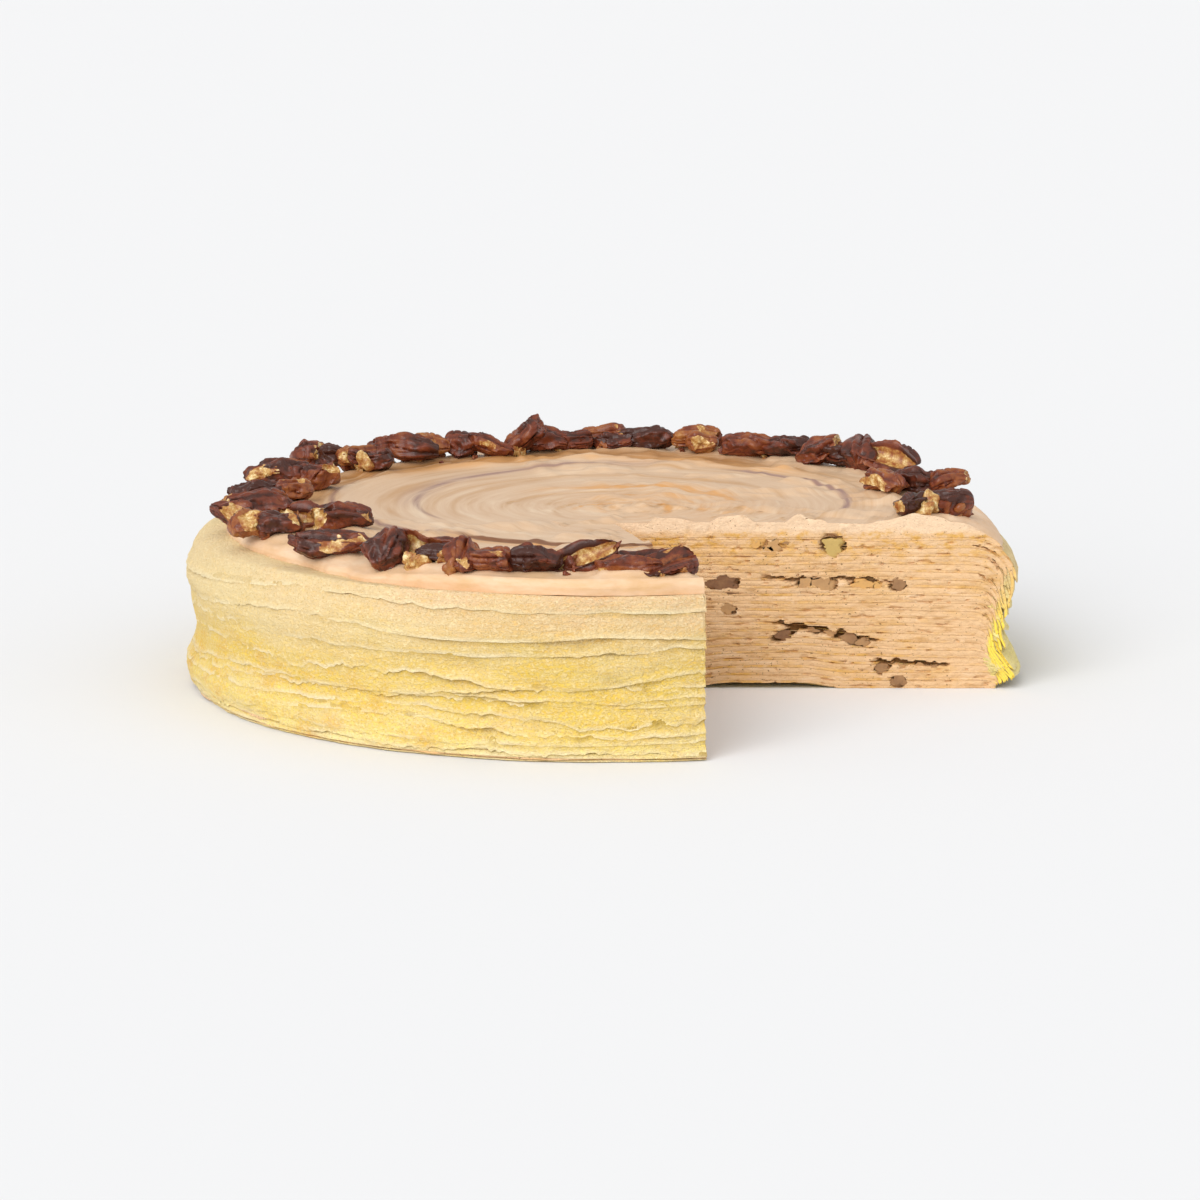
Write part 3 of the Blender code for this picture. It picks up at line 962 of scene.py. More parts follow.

# marks left by the spatula and darker rings beside the nuts: centre, radius, direction of the middle and half span in
# degrees, half width, then colour, strength and how deep the groove is; lengths are in mm
swirls = (
    (10, -4, 20.0, 20, 180, 26.0, "orange", 0.28, 0.0),
    (8, 13, 60.5, 135, 60, 5.5, "purple", 0.30, 0.0),
    (8, 13, 59.5, 150, 62, 1.3, "purple", 0.85, 1.0),
    (8, 13, 62.0, 25, 44, 5.0, "tan", 0.50, 0.0),
    (8, 13, 59.5, 22, 42, 1.5, "purple", 0.95, 1.0),
    (39, 86, 151.4, 250, 13, 4.6, "orange", 1.00, 0.0),
    (39, 86, 148.6, 250, 12, 2.4, "brown", 1.80, -2.2),
    (-5, 18.6, 73.5, 170, 82, 5.0, "tan", 0.85, 0.0),
    (-5, 18.6, 70.0, 165, 85, 1.2, "purple", 0.85, -2.0),
    (3, 4, 51.0, 120, 80, 3.2, "tan", 0.55, 0.4),
    (2, 5, 44.0, 165, 45, 1.8, "tan", 0.50, 0.3),
    (2, 0, 35.5, 62, 50, 2.4, "orange", 0.95, 0.7),
    (2, 0, 38.0, 75, 60, 4.0, "orange", 0.35, 0.0),
    (2, 0, 30.0, 130, 60, 1.8, "tan", 0.50, 0.5),
    (3, -1, 24.0, 40, 60, 1.6, "orange", 0.60, 0.6),
    (5, -4, 18.0, 150, 80, 1.4, "tan", 0.55, 0.4),
    (5, -4, 13.0, 70, 110, 1.5, "orange", 0.80, 0.6),
    (6, 0, 7.0, 120, 150, 1.6, "orange", 0.45, 0.3),
    # a darker brown ring round the back and left, beside the nuts, with tan and orange bands
    (0, 0, 91.0, 128, 78, 12.0, "backRingBrown", 1.00, 0.0),
    (0, 0, 85.0, 98, 44, 7.0, "backRingBrown", 0.70, 0.0),
    (0, 0, 84.0, 35, 32, 5.0, "tan", 0.60, 0.0),
    (0, 0, 81.0, 92, 52, 6.0, "orange", 0.60, 0.0),
    (0, 0, 88.0, 185, 34, 9.0, "tan", 0.95, 0.0),
)


def arcMarkGroup():
    # how far a place lies on one arc: 1 on its line, fading to both sides and towards both ends
    inputs = dict.fromkeys(("Place", "Centre", "Toward"), "NodeSocketVector")
    inputs.update(dict.fromkeys(("Radius", "Width", "Span"), "NodeSocketFloat"))
    group, given, gives = newGroup("arcMark", inputs, ("Mark",))
    apart = vectorNode(group, "SUBTRACT", given["Place"], given["Centre"])
    away = lengthOf(apart)
    facing = vectorNode(group, "DOT_PRODUCT", apart, given["Toward"], output="Value") / away
    off = mathNode(group, "ABSOLUTE", away - given["Radius"]) / given["Width"]
    line = clamped(1.0 - off)
    end = (facing - given["Span"]) / (1.0 - given["Span"])
    end = mathNode(group, "MAXIMUM", end, 0.0) * 2.5
    mark = mathNode(group, "POWER", line, 0.8) * mathNode(group, "MINIMUM", end, 1.0)
    fill(group, gives["Mark"], mark)
    return group


def topCreamSurface(arcMark):
    # streaks round a point near the middle, fine across them and long along them, then the spatula's marks
    look = swirlLook
    material, tree, shader = newMaterial("topCream", look["roughness"], look["specular"])
    place = stretched(tree, (1.0, 1.0, 0.0))
    reach = look["driftReach"]
    given = {"Vector": place, "Scale": look["drift"], "Detail": 0.0}
    drift = addNode(tree, "ShaderNodeTexNoise", given, "Color")
    shift = vectorNode(tree, "MULTIPLY_ADD", drift, (reach, reach, 0.0), (-reach / 2.0, -reach / 2.0, 0.0))
    moved = vectorNode(tree, "ADD", place, shift)
    apart = vectorNode(tree, "SUBTRACT", moved, (*look["streakMiddle"], 0.0))
    toward = vectorNode(tree, "NORMALIZE", apart)
    around = {axis: axisOf(toward, axis) * look["streakLength"] for axis in "XY"}
    around["Z"] = lengthOf(apart) * look["grain"]
    streak = addNode(tree, "ShaderNodeCombineXYZ", around, 0)
    grain = noise(tree, look["fineStreaks"], streak)
    wash = noise(tree, look["wideStreaks"], vectorNode(tree, "MULTIPLY", streak, look["broader"]))
    base = rampNode(wash, (0.30, look["tan"]), (0.46, look["cream"]), (0.56, look["cream"]),
                    (0.74, look["pale"]))
    base = painted(
        base,
        (span(grain, 0.50, 0.72) * look["paleShare"], look["pale"]),
        ((1.0 - span(grain, 0.28, 0.45)) * look["tanShare"], look["tan"]),
    )
    thin = span(grain, 0.62, 0.38) + 0.55
    for x, y, radius, direction, half, width, colour, strength, _ in swirls:
        angle = math.radians(direction)
        mark = placeGroup(tree, arcMark, {
            "Place": moved,
            "Centre": (x * mm, y * mm, 0.0),
            "Toward": (math.cos(angle), math.sin(angle), 0.0),
            "Radius": radius * mm,
            "Width": width * mm,
            "Span": math.cos(math.radians(half)),
        })["Mark"]
        base = painted(base, (clamped(mark * thin * strength), look[colour]))
    rim = rampNode(noise(tree, look["dabs"]), (0.30, look["rimTan"]), (0.50, look["edge"]),
                   (0.72, look["rimPale"]))
    base = painted(base, (span(lengthOf(place), 90.0 * mm, 99.0 * mm), rim))
    finishSurface(shader, base, grain, look["bump"], look["bumpDepth"])
    return material


nutLook = {
    "dark": (0.058, 0.016, 0.009),
    "red": (0.165, 0.034, 0.013),
    "brown": (0.290, 0.088, 0.024),
    "gold": (0.420, 0.190, 0.050),
    "flesh": (0.600, 0.370, 0.125),
    "pale": (0.880, 0.700, 0.380),
    "blotches": (300.0, 4.0, 0.65),
    "wide": (110.0, 2.0, 0.5),
    "fleshGrain": (420.0, 5.0, 0.70, 0.36, 0.66),
    "pitting": (800.0, 4.0, 0.65),
    "wideTone": 1.2,
    "creaseShadeAndTone": 0.30,
    "fleshRagged": 0.9,
    "coat": 0.14,
    "coatRoughness": 0.12,
    "bump": 0.40,
    "bumpDepth": 0.5 * mm,
    "roughness": 0.34,
    "specular": 0.30,
}


def pecanSurface():
    # candied skin, darker in its creases, partly its own colour and partly painted shade, with pale flesh where the
    # nut is broken
    look = nutLook
    material, tree, shader = newMaterial("candiedPecan", look["roughness"], look["specular"])
    shader.inputs["Coat Weight"].default_value = look["coat"]
    shader.inputs["Coat Roughness"].default_value = look["coatRoughness"]
    blotch = noise(tree, look["blotches"]) - 0.5
    wide = noise(tree, look["wide"]) - 0.5
    tone = attribute(tree, "tone") + blotch + wide * look["wideTone"]
    # darker in the creases: partly the skin's own colour there, partly painted shade
    tone = clamped(tone - attribute(tree, "crease") * look["creaseShadeAndTone"])
    skin = rampNode(tone, (0.02, look["dark"]), (0.34, look["red"]), (0.66, look["brown"]),
                    (1.0, look["gold"]))
    ragged = attribute(tree, "flesh") + blotch * look["fleshRagged"]
    inner = rampNode(patches(tree, look["fleshGrain"]), (0.05, look["brown"]), (0.34, look["gold"]),
                     (0.64, look["flesh"]), (0.92, look["pale"]))
    base = painted(skin, (span(ragged, 0.38, 0.56), look["brown"]), (span(ragged, 0.56, 0.74), inner))
    finishSurface(shader, base, noise(tree, look["pitting"]), look["bump"], look["bumpDepth"])
    return material


chopLook = {
    "brown": (0.200, 0.095, 0.045),
    "tan": (0.520, 0.300, 0.130),
    "orange": (0.680, 0.380, 0.120),
    "olive": (0.530, 0.370, 0.120),
    "blotches": (420.0, 4.0, 0.6),
    "pitting": (900.0, 3.0, 0.6),
    "blotchTone": 0.35,
    "bump": 0.35,
    "bumpDepth": 0.4 * mm,
    "roughness": 0.5,
    "specular": 0.3,
}


def choppedSurface():
    # sliced nut pieces caught in the filling
    look = chopLook
    material, tree, shader = newMaterial("choppedNut", look["roughness"], look["specular"])
    blotch = noise(tree, look["blotches"]) - 0.5
    tone = clamped(attribute(tree, "tone") + blotch * look["blotchTone"])
    base = rampNode(tone, (0.10, look["brown"]), (0.50, look["tan"]), (0.75, look["orange"]),
                    (0.92, look["olive"]))
    finishSurface(shader, base, noise(tree, look["pitting"]), look["bump"], look["bumpDepth"])
    return material


sponge = spongeGroup()
skinMaterial = crepeSkin(sponge)
lineMaterial = cutSurface("crepeCut", sponge, crepe=1.0)
creamMaterial = cutSurface("creamCut", sponge)
topCutMaterial = cutSurface("topCreamCut", sponge, top=1.0)
topMaterial = topCreamSurface(arcMarkGroup())
nutMaterial = pecanSurface()
chopMaterial = choppedSurface()
print("materials made")


# crepes

crepeGrid = {
    "rimPoints": 1080,
    "facePoints": 230,
    # each row of the sheet: side of the sheet (-1 under, 1 over) and distance from its edge in mm
    "rows": ((-1, 30), (-1, 2.2), (-1, 0.5), (-0.8, 0.08), (0, -0.05), (0.8, 0.08), (1, 0.4), (1, 0.9),
             (1, 1.6), (1, 2.5), (1, 3.6), (1, 5), (1, 7), (1, 10), (1, 15), (1, 30)),
    "cutRows": (2, 5),      # the rows of faces that lie on the cuts
}


def crepeThickness(past, fromHem, angle, stuck):
    # full on the stack, thinner over the corner and thinnest at the hanging rim
    skirt = rims["skirtThicker"] * roundTable(angle, skirtShare())
    hanging = cake["rimPress"] * cake["rimThickness"] * (1.0 + skirt)
    thinner = hanging * hemTaper(fromHem, roundTable(angle, stuck)) - cake["crepeThickness"]
    return cake["crepeThickness"] + thinner * smooth(past, -3.0 * mm, 2.0 * mm)


def markCutFaces(mesh, columns, rimPoints, rows):
    # the faces on the two cuts take the second material
    cell = np.arange(len(mesh.polygons))
    row, column = cell // columns, cell % columns
    onCut = (column >= rimPoints - 1) & (row >= rows[0]) & (row <= rows[1])
    mesh.polygons.foreach_set("material_index", onCut.astype(np.int32))


def makeCrepe(sheet):
    # one sheet: rows of its outline, drawn in under it, round its edge and over it, folded over the stack
    size = cornerRadius(sheet)
    corner = cornerAt[sheet]
    reach = size * math.pi / 2.0 + hangLengths[sheet]
    counts = (crepeGrid["rimPoints"], crepeGrid["facePoints"])
    rows = []
    looks = {"fromEdge": [], "across": [], "deep": [], "hanging": []}
    stuck = stuckShare(sheet)

    def thickness(past, fromHem, angle):
        return crepeThickness(past, fromHem, angle, stuck)

    for side, inset in crepeGrid["rows"]:
        def level(radius, angle, side=side):
            return flatHeight(sheet, radius, angle) + side * cake["crepeThickness"] / 2.0

        outline, deep = unrolledOutline(corner, size, reach, counts, level, faceLook["lineDepth"])
        flat = drawIn(outline, inset * mm)
        rows.append(rollSheet(sheet, flat, side, thickness))
        away, angle = directionOf(flat)
        looks["fromEdge"].append(np.full(len(outline), max(inset, 0.0) * mm))
        looks["across"].append(np.full(len(outline), float(side)))
        looks["deep"].append(deep)
        looks["hanging"].append(smooth(away - roundTable(angle, corner), -1.2 * mm, 0.8 * mm))
    grid = settle(np.stack(rows))
    grid[..., 2] = np.maximum(grid[..., 2], 0.0)
    looks = {label: np.stack(values) for label, values in looks.items()}
    # where the painted shade under the hems above this sheet falls
    looks["underHemShade"] = underHemShadeShare(grid, sheet)
    mesh = closedMesh(f"crepeSheet{sheet + 1:02d}", grid, looks, cake["middle"])
    addPiece(mesh, (skinMaterial, lineMaterial), [f"crepe_{sheet + 1:02d}"])
    markCutFaces(mesh, grid.shape[1], crepeGrid["rimPoints"], crepeGrid["cutRows"])


def underHemShadeShare(grid, sheet):
    # how far each point is tucked in under the lowest hem above it: 1 behind the hem, fading to 0 just below it. It
    # masks the painted shade under the hems
    away, angle = directionOf(grid)
    hems = [roundTable(angle, rimHeight(above) - hangLengths[above]) for above in range(sheet + 1, sheets)]
    if not hems:
        return np.zeros(grid.shape[:2])
    onSide = smooth(away, 0.90 * cake["radius"], 0.93 * cake["radius"])
    return onSide * smooth(grid[..., 2] - np.min(hems, axis=0), -1.3 * mm, 0.3 * mm)


for sheet in range(cake["crepes"]):
    makeCrepe(sheet)
print("crepes made")


# cream between the crepes

creamGrid = {
    "rimPoints": 300,
    "facePoints": 300,
    # share of the way from the crepe below to the one above, and distance from the edge in mm
    "rows": ((0, 26), (0, 1.6), (0, 0.25), (0.2, 0.05), (0.5, -0.05), (0.8, 0.05), (1, 0.25), (1, 1.6),
             (1, 26)),
}


def makeCream(sheet):
    # fills the space between one crepe's top and the next one's underside, out to where the rims close
    edge = np.minimum(cornerAt[sheet], cornerAt[sheet + 1] - 0.2 * mm)
    edge = edge + 0.25 * mm * ripple(roundAngles, 900 + sheet, 6, 40)
    half = cake["crepeThickness"] / 2.0
    rows = []
    deeps = []
    counts = (creamGrid["rimPoints"], creamGrid["facePoints"])
    for share, inset in creamGrid["rows"]:
        def level(radius, angle, share=share):
            low = flatHeight(sheet, radius, angle) + half
            high = np.maximum(flatHeight(sheet + 1, radius, angle) - half, low + 0.05 * mm)
            return low + (high - low) * share

        outline, deep = unrolledOutline(edge, 0.0, 0.0 * edge, counts, level)
        flat = drawIn(outline, inset * mm)
        rows.append(np.column_stack((flat, level(*directionOf(flat)))))
        deeps.append(deep)
    grid = settle(np.stack(rows))
    mesh = closedMesh(f"creamLayer{sheet + 1:02d}", grid, {"deep": np.stack(deeps)}, cake["middle"])
    addPiece(mesh, (creamMaterial,), [f"cream_{sheet + 1:02d}"])


for sheet in range(cake["crepes"] - 1):
    makeCream(sheet)
print("creams made")


# top cream and its toppings

topGrid = {
    "rimPoints": 560,
    "facePoints": 240,
    "frontEdge": 4.4 * mm,      # thickness near the rim at the front and back
    "sideEdge": 1.1 * mm,       # and at the left and right, where it thins out
    "wall": 1.3 * mm,           # on the side
    "nutsFrom": 89.0 * mm,      # crumbs lie no closer to the middle than this
    "crestAt": 79.0 * mm,       # the ridge that the spatula pushed up beside the nuts
    "crest": 1.0 * mm,
    "lip": 1.5 * mm,            # cream pulled up along the cuts by the knife
    "mound": 0.9 * mm,          # cream pressed up round each nut
    "streaks": 0.06 * mm,       # fine streaks inside the ridge
    "lumps": 0.34 * mm,         # soft lumps outside it, wide and small
    "smallLumps": 0.20 * mm,
    "underRows": (40, 12, 4, 1, 0.0),           # distances of the rows from the edge in mm, under the cream
    "wallRows": (0.12, 0.3, 0.5, 0.7, 0.88),    # shares of the way up its edge
    "overRows": (0.0, 0.3, 0.7, 1.2, 1.8, 2.4, 3.1, 3.9, 4.7, 5.6, 6.5, *np.linspace(7.5, 60.0, 42)),
    "nutRows": (16, 50),        # the rows of the finished grid that lie on top, near the nuts
}

# nuts grouped as their clusters: place and height of the middle, length and width in mm, then turn, tip and
# roll in degrees
pecanClusters = (
    ((-100.5, -17, 48.5, 10, 8, -20, 0, 0), (-94, -11, 49.5, 20, 10, 20, 0, 0)),
    ((-93, -38, 49, 12, 10, 40, 0, 0), (-86, -39.5, 49, 11, 9, 0, 0, 0)),
    ((-95, 7, 50, 15, 8, 10, 0, 0), (-86.5, 10, 50, 11, 8, 20, 0, 0)),
    ((-92, 33, 50.5, 16, 11, 15, 0, 0), (-81, 31.5, 50.5, 14, 10, -30, 0, 0)),
    ((-84, 67, 51, 10, 9, 20, 0, 0), (-77.5, 65.5, 50, 11, 9, 0, 0, 0), (-71, 65.5, 50.5, 11, 9, 30, 0, 0),
     (-66.5, 62, 50, 11, 9, 0, 0, 0)),
    ((-79.5, -31.5, 50, 13, 9, -20, 0, 40), (-70.5, -35, 50, 16, 10, 0, 0, 0)),
    ((-71.5, -67, 49, 22, 8, -3, 0, 0),),
    ((-56, -81, 49.8, 12, 10, 80, 30, 0), (-47.5, -79.5, 50, 16, 9, -10, 0, 45),
     (-42.5, -83.5, 49.5, 12, 7, 0, 0, 0)),
    ((-35.5, -95, 50.5, 10, 8, 80, 30, 0), (-29, -97, 50, 12, 9, -20, 0, 0)),
    ((-17.5, -97, 50, 12, 10, 0, 0, 0), (-6, -96.5, 50.5, 20, 8, 5, 18, 40)),
    ((5.5, -102, 49, 16, 8, 0, 0, 0), (10, -97, 49.5, 12, 8, 10, 0, 30), (16.5, -102, 50, 13, 9, 30, 12, 35)),
    ((-58, 79, 50.5, 20, 9, -12, 0, 0), (-51, 82.5, 50.5, 11, 8, 0, 0, 0)),
    ((-40, 86, 50.5, 10, 9, 0, 0, 0), (-33, 85, 50, 12, 8, 0, -20, 0)),
    ((-22, 92, 52, 13, 11, 0, 45, 0), (-16, 93.5, 50.5, 11, 9, 0, 0, 0), (-9, 96, 50, 10, 8, 20, 0, 0)),
    ((1.5, 102.5, 50.5, 13, 8, 0, 0, 0), (3, 98, 49.5, 10, 7, 0, 0, 0), (13, 100, 50, 15, 9, 0, 0, 0)),
    ((27, 97, 51, 13, 9, 0, 0, 0), (29, 92.5, 50, 8, 8, 0, 0, 0)),
    ((42, 86.5, 50, 17, 9, -10, 0, 0), (53.5, 82.5, 50.5, 13, 9, -10, 0, 0)),
    ((62.5, 71.5, 51, 12, 9, 0, 25, 0), (69, 69.5, 50.5, 12, 9, -20, 0, 0), (74, 65, 51, 14, 10, 80, 25, 0),
     (81.5, 58.5, 51, 17, 9, -30, -15, 40)),
    ((79, 20, 50.5, 13, 9, -60, 0, 0), (87, 24, 50, 14, 9, -10, 0, 0), (96, 22, 50.5, 11, 8, 10, 15, 0)),
    ((84.5, -15.5, 50.5, 11, 8, 60, 0, 0), (93, -12, 50, 13, 10, 0, 0, 0)),
)
nutPlaces = np.array([nut[:3] for cluster in pecanClusters for nut in cluster]) * mm


def topRelief(x, y):
    # rise of the cream: spatula grooves as steps that fade to both sides, streaks round the middle, soft
    # lumps, a broken ridge, mounds at nuts and lips at the cuts
    radius = np.hypot(x, y)
    place = np.stack((x, y, np.zeros_like(x)), -1)
    inside = 1.0 - smooth(radius, 74.0 * mm, 82.0 * mm)
    wobble = 0.4 * mm * cloudNoise(place, 26.0 * mm, 46)
    rise = 0.0 * x
    for cx, cy, reach, direction, half, _, _, _, groove in swirls:
        away, toward = directionOf(place[..., :2] - np.array((cx, cy)) * mm)
        off = away + wobble - reach * mm
        along = 1.0 - smooth(apartFrom(toward, direction), 0.6 * math.radians(half), math.radians(half))
        step = np.tanh(off / (0.6 * mm)) * np.exp(-np.abs(off) / (3.0 * mm))
        rise = rise + groove * swirlLook["groove"] * along * step
    away, around = directionOf(place[..., :2] - swirlLook["streakMiddle"])
    streak = np.stack(((away + wobble) / (1.5 * mm), 2.5 * np.cos(around), 2.5 * np.sin(around)), -1)
    rise = rise + topGrid["streaks"] * cloudNoise(streak, 1.0, 41) * inside
    outside = 0.04 + 0.96 * smooth(radius, 77.0 * mm, 86.0 * mm)
    lumps = topGrid["lumps"] * cloudNoise(place, 8.0 * mm, 42)
    rise = rise + outside * (lumps + topGrid["smallLumps"] * cloudNoise(place, 3.0 * mm, 43))
    fromCrest = radius + 3.0 * mm * cloudNoise(place, 14.0 * mm, 44) - topGrid["crestAt"]
    crest = np.exp(-(fromCrest / (2.2 * mm)) ** 2)
    rise = rise + topGrid["crest"] * crest * (0.55 + 0.9 * cloudNoise(place, 9.0 * mm, 45))
    gap = np.min([np.hypot(x - nut[0], y - nut[1]) for nut in nutPlaces], axis=0)
    rise = rise + topGrid["mound"] * (1.0 - smooth(gap, 4.0 * mm, 9.0 * mm))
    for cut in ("farCut", "nearCut"):
        _, across, _, tipAcross = cutAxes(cut)
        behind = place[..., :2] @ across - tipAcross
        pulled = np.maximum(0.0, cloudNoise(place, 9.0 * mm, 47) + 0.4 * cloudNoise(place, 3.5 * mm, 48))
        fading = np.exp(-np.maximum(behind, 0.0) / (2.4 * mm))
        rise = rise + topGrid["lip"] * pulled * fading * (behind < 20.0 * mm)
    return rise


def creamOffset(past, fromHem, angle):
    # twice how far the cream's outer face stands off its underside, as rollSheet halves it: even in the
    # middle, thinner at the rim and closing at the hem
    side = np.cos(angle) ** 2
    edge = topGrid["frontEdge"] + (topGrid["sideEdge"] - topGrid["frontEdge"]) * smooth(side, 0.04, 0.42)
    thick = cake["topCream"] + (edge - cake["topCream"]) * smooth(past, -16.0 * mm, -2.0 * mm)
    thick = thick + (topGrid["wall"] - thick) * smooth(past, -0.4 * mm, 2.2 * mm)
    bend = np.clip(past / cornerRadius(topSheet), 0.0, math.pi / 2.0)
    thick = thick * (1.0 + 0.30 * np.sin(2.0 * bend))
    return 2.0 * thick * (0.50 + 0.50 * np.sqrt(smooth(fromHem, 0.0, 1.3 * mm)))


def layCream(flat):
    # the outer face: laid over the stack, then given the spatula's relief where it is level
    points = rollSheet(topSheet, flat, 1, creamOffset)
    past, fromHem = sheetWay(topSheet, *directionOf(flat))
    level = (1.0 - smooth(past, -1.5 * mm, 1.0 * mm)) * smooth(fromHem, 0.5 * mm, 5.0 * mm)
    points[..., 2] += topRelief(points[..., 0], points[..., 1]) * level
    return points


def trimToCuts(points, rimCount, faceCount):
    # points between two edges of a cut face are moved across the cut to the face's own relief
    moved = points.copy()
    parts = {"nearCut": slice(rimCount, rimCount + faceCount), "farCut": slice(rimCount + faceCount, None)}
    for cut, part in parts.items():
        outward, across, tipAlong, tipAcross = cutAxes(cut)
        along = moved[part, :2] @ outward
        depth = faceDepth(cut, along, moved[part, 2], 0.0)
        depth = faceMargins(depth, along.max() - along, along - tipAlong)
        moved[part, :2] = along[:, None] * outward + (tipAcross + depth)[:, None] * across
    return moved


def makeTopCream():
    # its underside lies on the stack, its edge goes up the cuts, and its outer face runs in from the edge
    # to the middle; gives back the part of that face on which crumbs can lie
    size = cornerRadius(topSheet)
    reach = size * math.pi / 2.0 + hangLengths[topSheet]
    counts = (topGrid["rimPoints"], topGrid["facePoints"])

    def low(radius, angle):
        return flatHeight(topSheet, radius, angle)

    def high(radius, angle):
        return low(radius, angle) + cake["topCream"]

    underEdge, _ = unrolledOutline(cornerAt[topSheet], size, reach, counts, low)
    overEdge, _ = unrolledOutline(cornerAt[topSheet], size, reach, counts, high)
    rows = []
    for inset in topGrid["underRows"]:
        rows.append(rollSheet(topSheet, drawIn(underEdge, inset * mm), 0, creamOffset))
    lower = rows[-1]
    upper = layCream(overEdge)
    for share in topGrid["wallRows"]:
        rows.append(trimToCuts(lower + (upper - lower) * share, *counts))
    for inset in topGrid["overRows"]:
        rows.append(layCream(drawIn(overEdge, inset * mm)))
    deepest = drawIn(overEdge, topGrid["overRows"][-1] * mm)
    for way in np.linspace(0.0, 1.0, 30)[1:-1]:
        rows.append(layCream(deepest + (np.array(cake["middle"]) - deepest) * way))
    grid = settle(np.stack(rows))
    mesh = closedMesh("topCreamSwirl", grid, pole=cake["middle"])
    addPiece(mesh, (topMaterial, topCutMaterial), ["cream_top"], sharp=60.0)
    wallStart = len(topGrid["underRows"]) - 1
    markCutFaces(mesh, len(lower), topGrid["rimPoints"], (wallStart, wallStart + len(topGrid["wallRows"])))
    return grid[slice(*topGrid["nutRows"])]


creamFace = makeTopCream()
print("top cream made")


# pecans

pecanGrid = {
    "along": 56,
    "around": 60,
    "size": 1.22,       # how much larger a nut is than its stored length and width
    "flat": 0.76,       # its height as a share of its width
    "sink": 0.8 * mm,
    "cleft": 0.36,      # depth of the groove between its lobes and of the one below, as shares of its width
    "underCleft": 0.16,
    "lumps": 0.34,
    "crease": 0.15,
    "wrinkle": 0.09,
    "furrow": 0.14,
    "chips": 6,
    "broken": 1.1 * mm,     # how rough a break is, and its finer part
    "fineBroken": 0.5 * mm,
}

# looks of the nuts in the same order: tone (0 dark, 1 golden), how far the top is scooped out, then each
# break as a direction and how far out it lies
nutLooks = (
    (0.40, 0.0, (0.1, -0.9, 0.4, 0.60)), (0.35, 0.0, (-0.5, -0.4, 0.8, 0.80)),
    (0.62, 0.0, (0.1, -0.7, 0.7, 0.62)), (0.15, 0.0, (0.6, -0.5, 0.6, 0.84)), (0.15, 0.0),
    (0.62, 0.0, (0.1, -0.3, 0.95, 0.78)), (0.32, 0.0, (-0.3, -0.7, 0.6, 0.66)),
    (0.45, 0.0, (0.6, -0.5, 0.6, 0.80)), (0.45, 0.0, (0.8, -0.4, 0.4, 0.68)), (0.08, 0.0),
    (0.75, 0.0, (0.0, -0.9, 0.4, 0.80)), (0.25, 0.0), (0.30, 0.9),
    (0.30, 0.0, (-0.8, -0.55, 0.2, 0.62), (0.7, -0.5, 0.6, 0.85)), (0.32, 0.0, (0.0, -0.75, 0.65, 0.78)),
    (0.36, 0.0), (0.40, 1.0), (0.12, 0.0), (0.50, 0.0, (0.0, -0.9, 0.4, 0.74)),
    (0.60, 0.0, (-0.3, -0.4, 0.85, 0.74)), (0.12, 0.0), (0.36, 1.0), (0.58, 0.0, (-0.8, -0.6, 0.1, 0.70)),
    (0.38, 0.7), (0.26, 0.5, (0.1, -0.25, 0.96, 0.62)), (0.35, 0.0), (0.80, 0.0, (0.2, -0.8, 0.5, 0.76)),
    (0.40, 0.0, (0.0, -0.3, 0.95, 0.76)), (0.38, 0.0, (0.2, -0.8, 0.55, 0.78)),
    (0.45, 0.0, (0.6, 0.5, 0.6, 0.80)), (0.28, 0.0), (0.25, 0.0), (0.66, 0.0, (0.3, -0.6, 0.7, 0.86)),
    (0.15, 0.0), (0.08, 0.0), (0.74, 0.0, (0.0, -0.7, 0.7, 0.76)), (0.85, 0.0, (0.0, -0.9, 0.3, 0.70)),
    (0.46, 0.0), (0.26, 0.0), (0.44, 0.0, (0.9, -0.3, 0.3, 0.74)), (0.12, 0.0), (0.30, 0.0), (0.45, 0.9),
    (0.55, 0.0, (-0.8, -0.5, 0.2, 0.60)), (0.15, 0.0), (0.48, 0.0, (0.9, -0.2, 0.3, 0.76)),
    (0.16, 0.0, (-0.7, -0.6, -0.2, 0.76)), (0.26, 0.0),
)


def turnMatrix(turnAngle, tip, roll):
    # rolled, then tipped, then turned
    total = np.eye(3)
    for axis, degrees in ((2, turnAngle), (1, -tip), (0, roll)):
        angle = math.radians(degrees)
        first = (axis + 1) % 3
        second = (axis + 2) % 3
        about = np.eye(3)
        about[first, first] = about[second, second] = math.cos(angle)
        about[first, second] = -math.sin(angle)
        about[second, first] = math.sin(angle)
        total = total @ about
    return total


